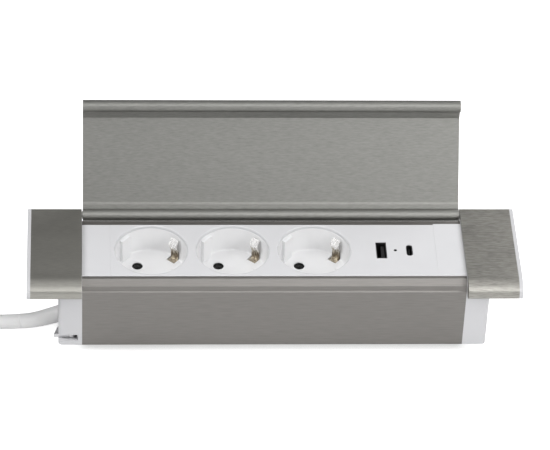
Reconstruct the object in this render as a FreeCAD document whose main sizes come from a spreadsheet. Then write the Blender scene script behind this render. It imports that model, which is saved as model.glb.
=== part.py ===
"""Flip-lid power strip that hangs in a worktop cut-out.

Frame: millimetres, +X to the right, +Y to the back, +Z up, with the origin at the middle of the
channel's underside. The lid is drawn closed, about its own hinge axis, and its placement opens it.
"""

import FreeCAD, Part
import math
import os
import re
import Sketcher
from FreeCAD import Placement, Rotation, Vector

DIMENSIONS = [
    # aluminium channel
    ("channel_length", 211.0),
    ("channel_width", 52.0),
    ("channel_wall", 1.8),
    ("channel_floor", 1.8),
    ("step_height", 38.5),
    ("step_depth", 0.7),
    ("rim_height", 45.5),
    ("rim_chamfer", 3.0),
    ("rim_depth", 5.0),
    ("front_rim_width", 5.6),
    ("back_rim_width", 3.3),
    ("port_radius", 3.0),
    ("port_bore_radius", 1.45),
    ("floor_port_offset", 12.5),
    ("port_floor_height", 4.5),
    ("port_wall_height", 18.0),
    # lid and wing extrusion
    ("lid_length", 210.2),
    ("lid_overhang", 7.0),
    ("hinge_offset", 5.5),
    ("lid_top_height", 48.0),
    ("plate_thickness", 1.6),
    ("lip_radius", 3.3),
    ("lip_height", 9.7),
    ("lip_centre_drop", 5.3),
    ("lip_inner_rise", 0.7),
    ("lip_slope_start", 10.25),
    ("lid_flat_start", 9.0),
    ("strip_start", 7.0),
    ("strip_extra", 0.5),
    ("bead_radius", 3.4),
    ("hinge_drop", 2.7),
    ("back_round", 2.6),
    ("open_angle", 123.8),
    ("wing_gap", 0.55),
    ("wing_length", 28.0),
    ("wing_leg_thickness", 1.4),
    ("trim_thickness", 2.0),
    ("trim_seat_length", 1.7),
    # hinge
    ("hinge_pin_radius", 1.5),
    ("hinge_pin_length", 19.0),
    ("hinge_pin_in_lid", 8.0),
    ("bush_wall", 0.35),
    ("bush_length", 9.0),
    ("bush_flange_radius", 2.25),
    ("bush_flange_thickness", 0.4),
    ("running_gap", 0.04),
    # white panel and blanks
    ("module_pitch", 45.0),
    ("panel_thickness", 2.0),
    ("panel_rise", 0.5),
    ("panel_gap", 0.2),
    ("panel_edge", 0.5),
    ("skirt_thickness", 1.6),
    ("skirt_depth", 7.8),
    ("hook_reach", 1.1),
    ("hook_gap", 0.3),
    ("hook_land", 0.6),
    ("hook_slope", 1.4),
    ("seam", 0.04),
    ("blank_back_lip", 0.8),
    ("socket_line", 1.3),
    # socket insert
    ("well_radius", 20.0),
    ("well_round", 0.8),
    ("well_depth", 17.5),
    ("insert_inner_radius", 19.8),
    ("insert_wall", 1.0),
    ("insert_floor", 3.0),
    ("insert_floor_round", 1.2),
    ("insert_clearance", 0.25),
    ("socket_turn", 40.0),
    ("pin_circle_radius", 9.5),
    ("pin_hole_radius", 3.0),
    ("guide_width", 7.0),
    ("guide_reach", 17.4),
    ("guide_drop", 2.2),
    ("clip_slot_width", 5.6),
    ("clip_slot_inner", 14.6),
    ("clip_slot_outer", 19.4),
    # earth clip
    ("clip_width", 5.0),
    ("clip_thickness", 0.8),
    ("clip_offset", 2.0),
    ("clip_reach", 19.2),
    ("clip_foot_inner", 15.1),
    ("clip_foot_drop", 0.5),
    ("clip_pinch", 2.4),
    ("clip_flare", 2.0),
    ("clip_top_drop", 3.9),
    ("clip_pinch_drop", 7.0),
    ("clip_bend_drop", 13.0),
    ("clip_bridge_gap", 0.4),
    # busbars
    ("sleeve_radius", 3.4),
    ("sleeve_bore_radius", 2.4),
    ("sleeve_height", 13.3),
    ("bar_width", 6.0),
    ("bar_thickness", 0.8),
    ("bar_height", 11.2),
    ("bar_end", 52.0),
    ("earth_bar_width", 4.4),
    ("earth_bar_end", 40.0),
    # terminal block and leads
    ("block_left", 99.0),
    ("block_length", 12.0),
    ("block_width", 28.0),
    ("block_height", 10.0),
    ("block_base", 7.6),
    ("lead_radius", 1.15),
    ("lead_spread", 1.4),
    ("lead_rise", 2.4),
    # USB module
    ("usb_a_offset", -7.8),
    ("usb_c_offset", 7.8),
    ("usb_line", 0.6),
    ("usb_a_width", 5.6),
    ("usb_a_length", 13.2),
    ("usb_c_width", 3.3),
    ("usb_c_length", 9.0),
    ("usb_shell_wall", 0.35),
    ("usb_cutout_gap", 0.15),
    ("usb_shell_drop", 0.3),
    ("usb_tongue_drop", 2.0),
    ("usb_a_tongue_width", 1.9),
    ("usb_a_tongue_length", 11.0),
    ("usb_a_tongue_shift", 0.9),
    ("usb_c_tongue_width", 0.7),
    ("usb_c_tongue_length", 6.7),
    ("light_radius", 0.9),
    ("board_length", 40.0),
    ("board_width", 36.0),
    ("board_thickness", 1.6),
    ("board_base", 28.0),
    ("board_screw_inset", 3.5),
    ("boss_radius", 2.6),
    ("board_screw_radius", 1.0),
    ("board_screw_length", 8.0),
    ("board_screw_head_radius", 2.2),
    ("board_screw_head_height", 1.4),
    ("transformer_length", 14.0),
    ("transformer_height", 10.0),
    ("capacitor_radius", 4.0),
    ("capacitor_height", 12.0),
    ("feed_pin_radius", 0.6),
    # end caps
    ("cap_length", 13.1),
    ("cap_wall", 2.4),
    ("cap_front_wall", 1.6),
    ("cap_side_wall", 2.2),
    ("cap_corner", 2.0),
    ("flange_end_gap", 0.15),
    ("flange_back_gap", 0.3),
    ("flange_floor", 3.2),
    ("flange_rib", 2.0),
    ("flange_gap", 0.4),
    ("tongue_length", 5.0),
    ("tongue_thickness", 1.4),
    ("tongue_gap", 0.15),
    ("tongue_width", 12.0),
    ("cap_screw_radius", 1.45),
    ("cap_screw_head_radius", 2.9),
    ("cap_screw_head_height", 2.0),
    ("cap_screw_length", 22.0),
    ("screw_clearance", 0.25),
    # worktop clamp
    ("clamp_inset", 6.9),
    ("clamp_depth", 5.6),
    ("chamber_size", 8.0),
    ("chamber_floor", 0.8),
    ("clamp_screw_radius", 2.0),
    ("clamp_head_radius", 3.5),
    ("clamp_head_height", 2.4),
    ("clamp_slot_width", 1.0),
    ("retainer_radius", 3.4),
    ("retainer_thickness", 0.8),
    ("retainer_gap", 0.2),
    ("nut_size", 7.4),
    ("nut_base", 1.0),
    ("nut_height", 2.4),
    ("collar_radius", 2.8),
    ("rivet_radius", 3.2),
    ("rivet_height", 0.4),
    ("thread_gap", 0.05),
    ("claw_thickness", 2.6),
    ("claw_gap", 0.1),
    ("claw_hub_radius", 3.8),
    ("claw_reach", 8.9),
    ("claw_half_width", 3.35),
    ("claw_nib", 0.9),
    ("window_right", 2.2),
    ("window_base", 3.3),
    ("window_height", 4.0),
    ("slot_top", 34.0),
    # cord, gland and plug
    ("cord_diameter", 8.2),
    ("cord_length", 1800.0),
    ("gland_line", -10.0),
    ("gland_height", 8.5),
    ("gland_neck_radius", 4.2),
    ("gland_inner_radius", 4.7),
    ("gland_outer_radius", 5.25),
    ("gland_inner_length", 6.4),
    ("gland_sheath_length", 3.4),
    ("gland_outer_length", 10.0),
    ("gland_mouth_radius", 4.3),
    ("gland_droop", 12.0),
    ("cord_line", -12.2),
    ("coil_centre_left", 224.0),
    ("coil_lift", 0.9),
    ("turn_gap", 0.5),
    ("tie_width", 9.0),
    ("tie_thickness", 0.8),
    ("tie_gap", 1.2),
    ("plug_radius", 18.7),
    ("plug_length", 38.0),
    ("plug_relief_length", 20.0),
    ("plug_relief_radius", 5.4),
    ("plug_back_radius", 10.5),
    ("plug_grip_length", 16.0),
    ("plug_rim_start", 4.5),
    ("plug_rest_gap", 0.05),
    ("plug_pin_radius", 2.4),
    ("plug_pin_length", 19.0),
    ("plug_pin_spacing", 19.0),
    ("plug_groove_width", 7.6),
    ("plug_groove_depth", 2.4),
    ("plug_contact_width", 5.0),
    ("plug_contact_length", 15.0),
    ("plug_contact_thickness", 0.8),
    ("plug_contact_line", 16.6),
    ("tail_run", 12.5),
]

LAYER_TURNS = 3

doc = FreeCAD.newDocument("power_strip")
dims = doc.addObject("Spreadsheet::Sheet", "dims")
for row, (alias, size) in enumerate(DIMENSIONS, start=1):
    dims.set(f"A{row}", alias)
    dims.set(f"B{row}", str(size))
    dims.setAlias(f"B{row}", alias)
doc.recompute()

ALIASES = re.compile(r"\b(" + "|".join(alias for alias, size in DIMENSIONS) + r")\b")
PLANES = {"x": ("YZ_Plane", 1), "y": ("XZ_Plane", -1), "z": ("XY_Plane", 1)}
pieces = []


def value(text):
    """The number that an expression in the sheet's names stands for."""
    result = dims.evalExpression(text)
    return float(getattr(result, "Value", result))


def bind(feature, name, text):
    """Tie a property to an expression in the sheet's names."""
    feature.setExpression(name, ALIASES.sub(r"dims.\1", text))


def piece(label, feature):
    """Name a finished sub-part, which names its file too."""
    feature.Label = label
    pieces.append(feature)
    return feature


def new_body(label):
    return piece(label, doc.addObject("PartDesign::Body", "body_" + label))


def group(label, members):
    """One node of several separate solids that are alike."""
    joined = doc.addObject("Part::Compound", "group_" + label)
    joined.Links = members
    return piece(label, joined)


def rod(label, radius, length, x, y, z, axis=None, angle=None):
    """A plain round bar that belongs to a group."""
    bar = doc.addObject("Part::Cylinder", label)
    bind(bar, "Radius", radius)
    bind(bar, "Height", length)
    place(bar, x, y, z, axis, angle)
    return bar


def place(feature, x="0", y="0", z="0", axis=None, angle=None):
    """Put a piece at a point, turned about one axis, all bound to the sheet."""
    if axis is not None:
        feature.Placement = Placement(Vector(0, 0, 0), Rotation(axis, 90.0))
        bind(feature, "Placement.Rotation.Angle", angle)
    for name, text in zip("xyz", (x, y, z)):
        bind(feature, "Placement.Base." + name, text)


def rect(x1, x2, y1, y2):
    return [(x1, y1), (x2, y1), (x2, y2), (x1, y2)]


def disc(x, y, radius):
    return {"centre": (x, y), "radius": radius}


def arc_edge(start, end, radius, left):
    """The arc of under a half circle from start to end, bending left or right."""
    chord = end - start
    rise = math.sqrt(max(radius**2 - (chord.Length / 2) ** 2, 0.0))
    side = Vector(-chord.y, chord.x, 0).normalize()
    centre = start + chord * 0.5 + side * (rise if left else -rise)
    first, last = (start, end) if left else (end, start)
    angles = [math.atan2(p.y - centre.y, p.x - centre.x) for p in (first, last)]
    return Part.ArcOfCircle(Part.Circle(centre, Vector(0, 0, 1), radius), *angles)


def draw_loop(sketch, corners):
    """Draw a closed outline. A corner is (x, y), or (x, y, radius, side) for an arc to the next."""
    points = [Vector(value(c[0]), value(c[1]), 0) for c in corners]
    count = len(corners)
    edges = []
    ends = []
    for i, corner in enumerate(corners):
        start, end = points[i], points[(i + 1) % count]
        if len(corner) == 2:
            edges.append(sketch.addGeometry(Part.LineSegment(start, end), False))
            ends.append((1, 2))
        else:
            left = corner[3] == "left"
            arc = arc_edge(start, end, value(corner[2]), left)
            edges.append(sketch.addGeometry(arc, False))
            ends.append((1, 2) if left else (2, 1))
    for i in range(count):
        after = (i + 1) % count
        join = Sketcher.Constraint("Coincident", edges[i], ends[i][1], edges[after], ends[after][0])
        sketch.addConstraint(join)
    for i, corner in enumerate(corners):
        for kind, text, size in (
            ("DistanceX", corner[0], points[i].x),
            ("DistanceY", corner[1], points[i].y),
        ):
            rule = sketch.addConstraint(Sketcher.Constraint(kind, -1, 1, edges[i], ends[i][0], size))
            bind(sketch, f"Constraints[{rule}]", text)
        if len(corner) > 2:
            size = value(corner[2])
            rule = sketch.addConstraint(Sketcher.Constraint("Radius", edges[i], size))
            bind(sketch, f"Constraints[{rule}]", corner[2])


def draw_disc(sketch, shape):
    x, y = shape["centre"]
    radius = value(shape["radius"])
    centre = Vector(value(x), value(y), 0)
    edge = sketch.addGeometry(Part.Circle(centre, Vector(0, 0, 1), radius), False)
    for kind, text, size in (("DistanceX", x, centre.x), ("DistanceY", y, centre.y)):
        rule = sketch.addConstraint(Sketcher.Constraint(kind, -1, 1, edge, 3, size))
        bind(sketch, f"Constraints[{rule}]", text)
    rule = sketch.addConstraint(Sketcher.Constraint("Radius", edge, radius))
    bind(sketch, f"Constraints[{rule}]", shape["radius"])


def sketch_across(body, name, axis, start, end, shapes):
    """A sketch square to an axis of the body, at the end from which its normal runs inwards."""
    role, sense = PLANES[axis]
    plane = next(f for f in body.Origin.OriginFeatures if f.Role == role)
    sketch = body.newObject("Sketcher::SketchObject", "sketch_" + name)
    sketch.AttachmentSupport = [(plane, "")]
    sketch.MapMode = "FlatFace"
    bind(sketch, "AttachmentOffset.Base.z", start if sense > 0 else f"-({end})")
    for shape in shapes:
        if isinstance(shape, dict):
            draw_disc(sketch, shape)
        else:
            draw_loop(sketch, shape)
    return sketch


def pad(body, name, axis, start, end, *shapes):
    """Add material between two stations of an axis."""
    sketch = sketch_across(body, name, axis, start, end, shapes)
    feature = body.newObject("PartDesign::Pad", name)
    feature.Profile = sketch
    bind(feature, "Length", f"({end}) - ({start})")
    return feature


def cut(body, name, axis, start, end, *shapes):
    """Remove material between two stations of an axis, and prove that some has gone."""
    doc.recompute()
    before = body.Shape.Volume
    sketch = sketch_across(body, name, axis, start, end, shapes)
    feature = body.newObject("PartDesign::Pocket", name)
    feature.Profile = sketch
    feature.Reversed = True
    bind(feature, "Length", f"({end}) - ({start})")
    doc.recompute()
    if body.Shape.Volume >= before - 1e-6:
        raise ValueError(f"{body.Label}: {name} cuts nothing")
    return feature


def lathe(body, name, profile):
    """Turn an outline of (radius, height) corners about the body's own upright axis."""
    sketch = sketch_across(body, name, "y", "0", "0", [profile])
    feature = body.newObject("PartDesign::Revolution", name)
    feature.Profile = sketch
    feature.ReferenceAxis = (sketch, ["V_Axis"])
    feature.Angle = 360.0
    return feature


def stepped(*stages):
    """A solid of revolution's outline from (radius, low, high) stages, from the bottom up."""
    corners = [("0", stages[0][1])]
    for radius, low, high in stages:
        corners += [(radius, low), (radius, high)]
    corners.append(("0", stages[-1][2]))
    return corners


def span(side, near, far):
    """Stations along X for a stretch on the left (-1) or the right (1) side."""
    return (near, far) if side > 0 else (f"-({far})", f"-({near})")


SIDES = {"left": -1, "right": 1}

# Stations that several pieces share
HALF = "channel_length / 2"
FRONT = "-channel_width / 2"
BACK = "channel_width / 2"
PANEL_FRONT = f"({FRONT} + front_rim_width + panel_gap)"
PANEL_BACK = f"({BACK} - back_rim_width - panel_gap)"
PANEL_TOP = "(rim_height + panel_rise)"
PANEL_UNDER = f"({PANEL_TOP} - panel_thickness)"
HINGE_Y = f"({BACK} + hinge_offset)"
LID_REACH = "(channel_width + hinge_offset + lid_overhang)"
HINGE_Z = "(lid_top_height - hinge_drop)"
SHELF = "(lid_top_height - lip_height)"
WING_START = "(lid_length / 2 + wing_gap)"
WING_END = f"({WING_START} + wing_length)"
FLANGE_END = f"({WING_END} - trim_seat_length - flange_end_gap)"
FLANGE_BACK = f"({HINGE_Y} - bead_radius - flange_back_gap)"
WELL_FLOOR = f"({PANEL_TOP} - well_depth)"
INSERT_UNDER = f"({WELL_FLOOR} - insert_floor)"
USB_MIDDLE = "(1.5 * module_pitch)"
BOARD_TOP = "(board_base + board_thickness)"
CAP_END = f"({HALF} + cap_length)"
CLAMP_X = f"({HALF} + clamp_inset)"
CLAMP_Y = f"({FRONT} + clamp_depth)"
WALL_PORT = "(channel_width / 2 - channel_wall - port_radius + 0.3)"
GLAND_INNER_END = f"cap_side_wall + gland_inner_length + gland_sheath_length - {CAP_END}"


def socket_x(index):
    return f"(({index} - 1.5) * module_pitch)"


def body_channel():
    """Extruded trough: a step and a chamfer at the front, two rims and four screw ports."""
    body = new_body("body_channel")
    face = f"{FRONT} + step_depth"
    block = "rim_height - rim_depth"
    outer = [
        (FRONT, "0"),
        (BACK, "0"),
        (BACK, "rim_height"),
        (f"{BACK} - back_rim_width", "rim_height"),
        (f"{BACK} - back_rim_width", block),
        (f"{BACK} - channel_wall", block),
        (f"{BACK} - channel_wall", "channel_floor"),
        (f"{FRONT} + channel_wall", "channel_floor"),
        (f"{FRONT} + channel_wall", block),
        (f"{FRONT} + front_rim_width", block),
        (f"{FRONT} + front_rim_width", "rim_height"),
        (f"{face} + rim_chamfer", "rim_height"),
        (face, "rim_height - rim_chamfer"),
        (face, "step_height + step_depth"),
        (FRONT, "step_height"),
    ]
    pad(body, "section", "x", f"-{HALF}", HALF, outer)
    ports = [
        ("-floor_port_offset", "port_floor_height"),
        ("floor_port_offset", "port_floor_height"),
        (f"-{WALL_PORT}", "port_wall_height"),
        (WALL_PORT, "port_wall_height"),
    ]
    for index, (y, z) in enumerate(ports):
        pad(body, f"port{index}", "x", f"-{HALF}", HALF, disc(y, z, "port_radius"))
        cut(body, f"bore{index}", "x", f"-{HALF}", HALF, disc(y, z, "port_bore_radius"))


def lip_path():
    """The extrusion's outside, about the hinge axis, from the top's back edge to the lip's foot."""
    run = "(lid_flat_start - lip_radius)"
    drop = "lip_centre_drop"
    shoulder = f"(({run}^2 + {drop}^2 - lip_radius^2) / (2 * ({drop} - lip_radius)))"
    reach = f"({shoulder} - lip_radius)"
    low = "hinge_drop - lip_height + lip_radius"
    return [
        ("bead_radius - back_round", "hinge_drop"),
        (f"lid_flat_start - {LID_REACH}", "hinge_drop", shoulder, "left"),
        (
            f"lip_radius - {LID_REACH} - lip_radius * {run} / {reach}",
            f"hinge_drop - {drop} + lip_radius * ({shoulder} - {drop}) / {reach}",
            "lip_radius",
            "left",
        ),
        (f"-{LID_REACH}", f"hinge_drop - {drop}"),
        (f"-{LID_REACH}", low, "lip_radius", "left"),
        (f"lip_radius - {LID_REACH}", "hinge_drop - lip_height"),
    ]


def plate_path():
    """From the lip's foot up its inner side and along the underside to the hinge bead."""
    foot = lip_path()[-1] + ("lip_radius", "left")
    under = "hinge_drop - plate_thickness"
    strip = f"({under} - strip_extra)"
    return [
        foot,
        (f"2 * lip_radius - {LID_REACH}", "hinge_drop - lip_height + lip_radius"),
        (f"2 * lip_radius - {LID_REACH}", "hinge_drop - lip_centre_drop + lip_inner_rise"),
        (f"lip_slope_start - {LID_REACH}", under),
        ("-strip_start", under),
        ("-strip_start", strip),
        (f"-sqrt(bead_radius^2 - {strip}^2)", strip, "bead_radius", "left"),
    ]


def lid_section():
    """The lid's whole outline: the bead ends it at the back."""
    return (
        lip_path()[:-1]
        + plate_path()
        + [
            ("0", "-bead_radius", "bead_radius", "left"),
            ("bead_radius", "0"),
            ("bead_radius", "hinge_drop - back_round", "back_round", "left"),
        ]
    )


def wing_section():
    """The same outline with a leg down to the worktop behind the bead."""
    leg = "(bead_radius - wing_leg_thickness)"
    return (
        lip_path()[:-1]
        + plate_path()
        + [
            ("0", "-bead_radius", "bead_radius", "left"),
            (leg, f"-sqrt(bead_radius^2 - {leg}^2)"),
            (leg, "hinge_drop - lip_height"),
            ("bead_radius", "hinge_drop - lip_height"),
            ("bead_radius", "hinge_drop - back_round", "back_round", "left"),
        ]
    )


def trim_section():
    """The wing's outside, closed straight along the worktop."""
    return lip_path() + [
        ("bead_radius", "hinge_drop - lip_height"),
        ("bead_radius", "hinge_drop - back_round", "back_round", "left"),
    ]


def lid_panel():
    """The lid's extrusion: rolled lip, thin plate and hinge bead, bored for pins and bushes."""
    body = new_body("lid_panel")
    half = "lid_length / 2"
    pad(body, "section", "x", f"-{half}", half, lid_section())
    cut(body, "bore", "x", f"-{half}", half, disc("0", "0", "hinge_pin_radius"))
    seat = disc("0", "0", "hinge_pin_radius + running_gap + bush_wall")
    cut(body, "left_seat", "x", f"-{half}", f"bush_length - {half}", seat)
    cut(body, "right_seat", "x", f"{half} - bush_length", half, seat)
    place(body, "0", HINGE_Y, HINGE_Z, Vector(1, 0, 0), "-open_angle")


def wing_cover(name, side):
    """A short length of the lid's extrusion that covers the cap's flange."""
    body = new_body(name + "_wing_cover")
    start, end = span(side, WING_START, WING_END)
    pad(body, "section", "x", start, end, wing_section())
    cut(body, "bore", "x", start, end, disc("0", "0", "hinge_pin_radius"))
    place(body, "0", HINGE_Y, HINGE_Z)


def end_trim(name, side):
    """A thin plate across the wing's end, with a plug that sits under the wing's plate."""
    body = new_body(name + "_end_trim")
    start, end = span(side, WING_END, f"{WING_END} + trim_thickness")
    pad(body, "plate", "x", start, end, trim_section())
    start, end = span(side, f"{WING_END} - trim_seat_length", WING_END)
    low = "hinge_drop - lip_height + 1"
    high = "hinge_drop - plate_thickness - strip_extra - 0.2"
    seat = rect(f"lip_slope_start + 1 - {LID_REACH}", "-bead_radius - 2", low, high)
    pad(body, "seat", "x", start, end, seat)
    place(body, "0", HINGE_Y, HINGE_Z)


def hinge_side(name, side):
    """A pin pressed in the wing's bead, and the flanged bush that turns on it in the lid's."""
    turn = "90" if side > 0 else "-90"
    pin = new_body(name + "_hinge_pin")
    radius = "hinge_pin_radius"
    tip = "0.4"
    corners = [
        ("0", "0"),
        (f"{radius} - {tip}", "0"),
        (radius, tip),
        (radius, f"hinge_pin_length - {tip}"),
        (f"{radius} - {tip}", "hinge_pin_length"),
        ("0", "hinge_pin_length"),
    ]
    lathe(pin, "turned", corners)
    pin_x = f"{side} * (lid_length / 2 - hinge_pin_in_lid)"
    place(pin, pin_x, HINGE_Y, HINGE_Z, Vector(0, 1, 0), turn)
    bush = new_body(name + "_hinge_bush")
    inner = "hinge_pin_radius + running_gap"
    outer = f"{inner} + bush_wall"
    corners = [
        (inner, "-bush_length"),
        (outer, "-bush_length"),
        (outer, "0"),
        ("bush_flange_radius", "0"),
        ("bush_flange_radius", "bush_flange_thickness"),
        (inner, "bush_flange_thickness"),
    ]
    lathe(bush, "turned", corners)
    place(bush, f"{side} * lid_length / 2", HINGE_Y, HINGE_Z, Vector(0, 1, 0), turn)


def strip_section(back_lip=False):
    """The white strip's outline: a thin top with a skirt and a snap hook along each side."""
    foot = f"({PANEL_TOP} - skirt_depth)"
    hook = "(rim_height - rim_depth - hook_gap)"
    left, right = PANEL_FRONT, PANEL_BACK
    back_edge = [(right, f"{PANEL_TOP} - panel_edge"), (f"{right} - panel_edge", PANEL_TOP)]
    if back_lip:
        reach = f"{right} + blank_back_lip"
        back_edge = [
            (right, "rim_height"),
            (reach, "rim_height"),
            (f"{right} + blank_back_lip - panel_rise", PANEL_TOP),
        ]
    return [
        (left, foot),
        (f"{left} + skirt_thickness", foot),
        (f"{left} + skirt_thickness", PANEL_UNDER),
        (f"{right} - skirt_thickness", PANEL_UNDER),
        (f"{right} - skirt_thickness", foot),
        (right, foot),
        (f"{right} + hook_reach", f"{hook} - hook_land"),
        (f"{right} + hook_reach", hook),
        (right, hook),
        *back_edge,
        (f"{left} + panel_edge", PANEL_TOP),
        (left, f"{PANEL_TOP} - panel_edge"),
        (left, hook),
        (f"{left} - hook_reach", hook),
        (f"{left} - hook_reach", f"{hook} - hook_land"),
    ]


def socket_panel():
    """The white strip with three rounded openings, the USB openings and two board bosses."""
    body = new_body("socket_panel")
    half = "2 * module_pitch"
    pad(body, "section", "x", f"-{half}", half, strip_section())
    for index, (x, y) in enumerate(board_screws()):
        pad(body, f"boss{index}", "z", BOARD_TOP, f"{PANEL_UNDER} + 0.2", disc(x, y, "boss_radius"))
        top = f"{BOARD_TOP} + board_screw_length"
        cut(body, f"pilot{index}", "z", BOARD_TOP, top, disc(x, y, "board_screw_radius"))
    doc.recompute()
    before = body.Shape.Volume
    opening = [
        ("0", f"{PANEL_TOP} - skirt_depth - 1"),
        ("insert_inner_radius + insert_wall + insert_clearance", f"{PANEL_TOP} - skirt_depth - 1"),
        ("insert_inner_radius + insert_wall + insert_clearance", PANEL_UNDER),
        ("well_radius", PANEL_UNDER),
        ("well_radius", f"{PANEL_TOP} - well_round", "well_round", "right"),
        ("well_radius + well_round", PANEL_TOP),
        ("well_radius + well_round", f"{PANEL_TOP} + 1"),
        ("0", f"{PANEL_TOP} + 1"),
    ]
    sketch = sketch_across(body, "opening", "y", "socket_line", "socket_line", [opening])
    bind(sketch, "AttachmentOffset.Base.x", socket_x(0))
    groove = body.newObject("PartDesign::Groove", "opening")
    groove.Profile = sketch
    groove.ReferenceAxis = (sketch, ["V_Axis"])
    groove.Angle = 360.0
    doc.recompute()
    row = body.newObject("PartDesign::LinearPattern", "openings")
    row.Originals = [groove]
    row.Direction = (sketch, ["H_Axis"])
    bind(row, "Length", "2 * module_pitch")
    row.Occurrences = 3
    body.Tip = row
    doc.recompute()
    if body.Shape.Volume > before - 3000:
        raise ValueError("the socket openings are not cut")
    low, high = f"{PANEL_UNDER} - 1", f"{PANEL_TOP} + 1"
    gap = "usb_cutout_gap"
    x, y = f"({USB_MIDDLE} + usb_a_offset)", "usb_line"
    wide, long = f"(usb_a_width / 2 + {gap})", f"(usb_a_length / 2 + {gap})"
    shape = rect(f"{x} - {wide}", f"{x} + {wide}", f"{y} - {long}", f"{y} + {long}")
    cut(body, "usb_a", "z", low, high, shape)
    shape = stadium(f"({USB_MIDDLE} + usb_c_offset)", "usb_c_width", "usb_c_length", gap)
    cut(body, "usb_c", "z", low, high, shape)
    cut(body, "light", "z", low, high, disc(USB_MIDDLE, "usb_line", "light_radius"))


def stadium(x, width, length, grow="0"):
    """A slot with round ends along Y on the USB line, in two arcs of a quarter turn at each end."""
    radius = f"({width} / 2 + {grow})"
    straight = f"({length} / 2 - {width} / 2)"
    y = "usb_line"
    return [
        (f"{x} + {radius}", f"{y} - {straight}"),
        (f"{x} + {radius}", f"{y} + {straight}", radius, "left"),
        (x, f"{y} + {straight} + {radius}", radius, "left"),
        (f"{x} - {radius}", f"{y} + {straight}"),
        (f"{x} - {radius}", f"{y} - {straight}", radius, "left"),
        (x, f"{y} - {straight} - {radius}", radius, "left"),
    ]


def blank_panel(name, side):
    """The short white piece between the socket strip and the end, under the lid's corner."""
    body = new_body(name + "_blank_panel")
    start, end = span(side, "2 * module_pitch + seam", f"{HALF} - seam")
    pad(body, "section", "x", start, end, strip_section(back_lip=side > 0))


def socket_insert(index):
    """The moulded well: a round cup with two guide ribs, two pin holes and two clip slots."""
    body = new_body(f"socket_insert_{index + 1}")
    inner, outer = "insert_inner_radius", "(insert_inner_radius + insert_wall)"
    cup = [
        ("0", INSERT_UNDER),
        (outer, INSERT_UNDER),
        (outer, PANEL_UNDER),
        (inner, PANEL_UNDER),
        (inner, f"{WELL_FLOOR} + insert_floor_round", "insert_floor_round", "right"),
        (f"{inner} - insert_floor_round", WELL_FLOOR),
        ("0", WELL_FLOOR),
    ]
    lathe(body, "cup", cup)
    half = "guide_width / 2"
    top = f"{PANEL_TOP} - guide_drop"
    for side, sign in SIDES.items():
        start, end = span(sign, "guide_reach", f"{inner} + 0.4")
        shape = rect(start, end, f"-{half}", half)
        pad(body, side + "_guide", "z", f"{WELL_FLOOR} - 0.5", top, shape)
    low, high = f"{INSERT_UNDER} - 1", f"{WELL_FLOOR} + 1"
    for side, sign in SIDES.items():
        hole = disc(f"{sign} * pin_circle_radius", "0", "pin_hole_radius")
        cut(body, side + "_pin", "z", low, high, hole)
        start, end = span(sign, "clip_slot_inner", "clip_slot_outer")
        middle = f"{sign} * clip_offset"
        near, far = f"{middle} - clip_slot_width / 2", f"{middle} + clip_slot_width / 2"
        slot = rect(near, far, start, end)
        cut(body, side + "_slot", "z", low, high, slot)
    place(body, socket_x(index), "socket_line", "0", Vector(0, 0, 1), "-socket_turn")


def earth_clip(index):
    """A sprung strip: a bridge under the well, and on two sides a foot in its slot and a blade.

    The blade stands along the wall, leans in to the nose that pinches the plug and ends behind it.
    """
    body = new_body(f"earth_clip_{index + 1}")
    thick = "clip_thickness"
    bridge_top = f"({INSERT_UNDER} - clip_bridge_gap)"
    bridge_under = f"({bridge_top} - {thick})"
    foot = f"({WELL_FLOOR} - clip_foot_drop)"
    half = "(clip_offset + clip_width / 2)"
    leg = f"(clip_foot_inner + {thick})"
    bridge = rect(f"-{half}", half, f"-{leg}", leg)
    pad(body, "bridge", "z", bridge_under, bridge_top, bridge)
    nose, tip = "(clip_reach - clip_pinch)", "(clip_reach - clip_pinch + clip_flare)"
    bend_height = f"{PANEL_TOP} - clip_bend_drop"
    nose_height = f"{PANEL_TOP} - clip_pinch_drop"
    tip_height = f"{PANEL_TOP} - clip_top_drop"
    blade = [
        ("clip_foot_inner", bridge_under),
        (leg, bridge_under),
        (leg, f"{foot} - {thick}"),
        ("clip_reach", f"{foot} - {thick}"),
        ("clip_reach", bend_height),
        (nose, nose_height),
        (tip, tip_height),
        (f"{tip} - {thick}", tip_height),
        (f"{nose} - {thick}", nose_height),
        (f"clip_reach - {thick}", bend_height),
        (f"clip_reach - {thick}", foot),
        ("clip_foot_inner", foot),
    ]
    for side, sign in SIDES.items():
        start, end = span(sign, "clip_offset - clip_width / 2", "clip_offset + clip_width / 2")
        outline = [(f"{sign} * ({y})", z) for y, z in blade]
        pad(body, side + "_blade", "x", start, end, outline)
    place(body, socket_x(index), "socket_line", "0", Vector(0, 0, 1), "-socket_turn")


def contact_busbar(name, side):
    """A brass strip with one sleeve under each pin hole of its pole."""
    body = new_body(name)
    across = "pin_circle_radius * cos(socket_turn)"
    y = f"(socket_line - {side} * pin_circle_radius * sin(socket_turn))"
    top = "(bar_height + bar_thickness)"
    start = "block_length - block_left"
    strip = rect(start, "bar_end", f"{y} - bar_width / 2", f"{y} + bar_width / 2")
    pad(body, "strip", "z", "bar_height", top, strip)
    for index in range(3):
        x = f"({socket_x(index)} + {side} * {across})"
        ring = (disc(x, y, "sleeve_radius"), disc(x, y, "sleeve_bore_radius"))
        pad(body, f"sleeve{index}", "z", f"{top} - 0.2", f"{top} + sleeve_height", *ring)


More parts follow.
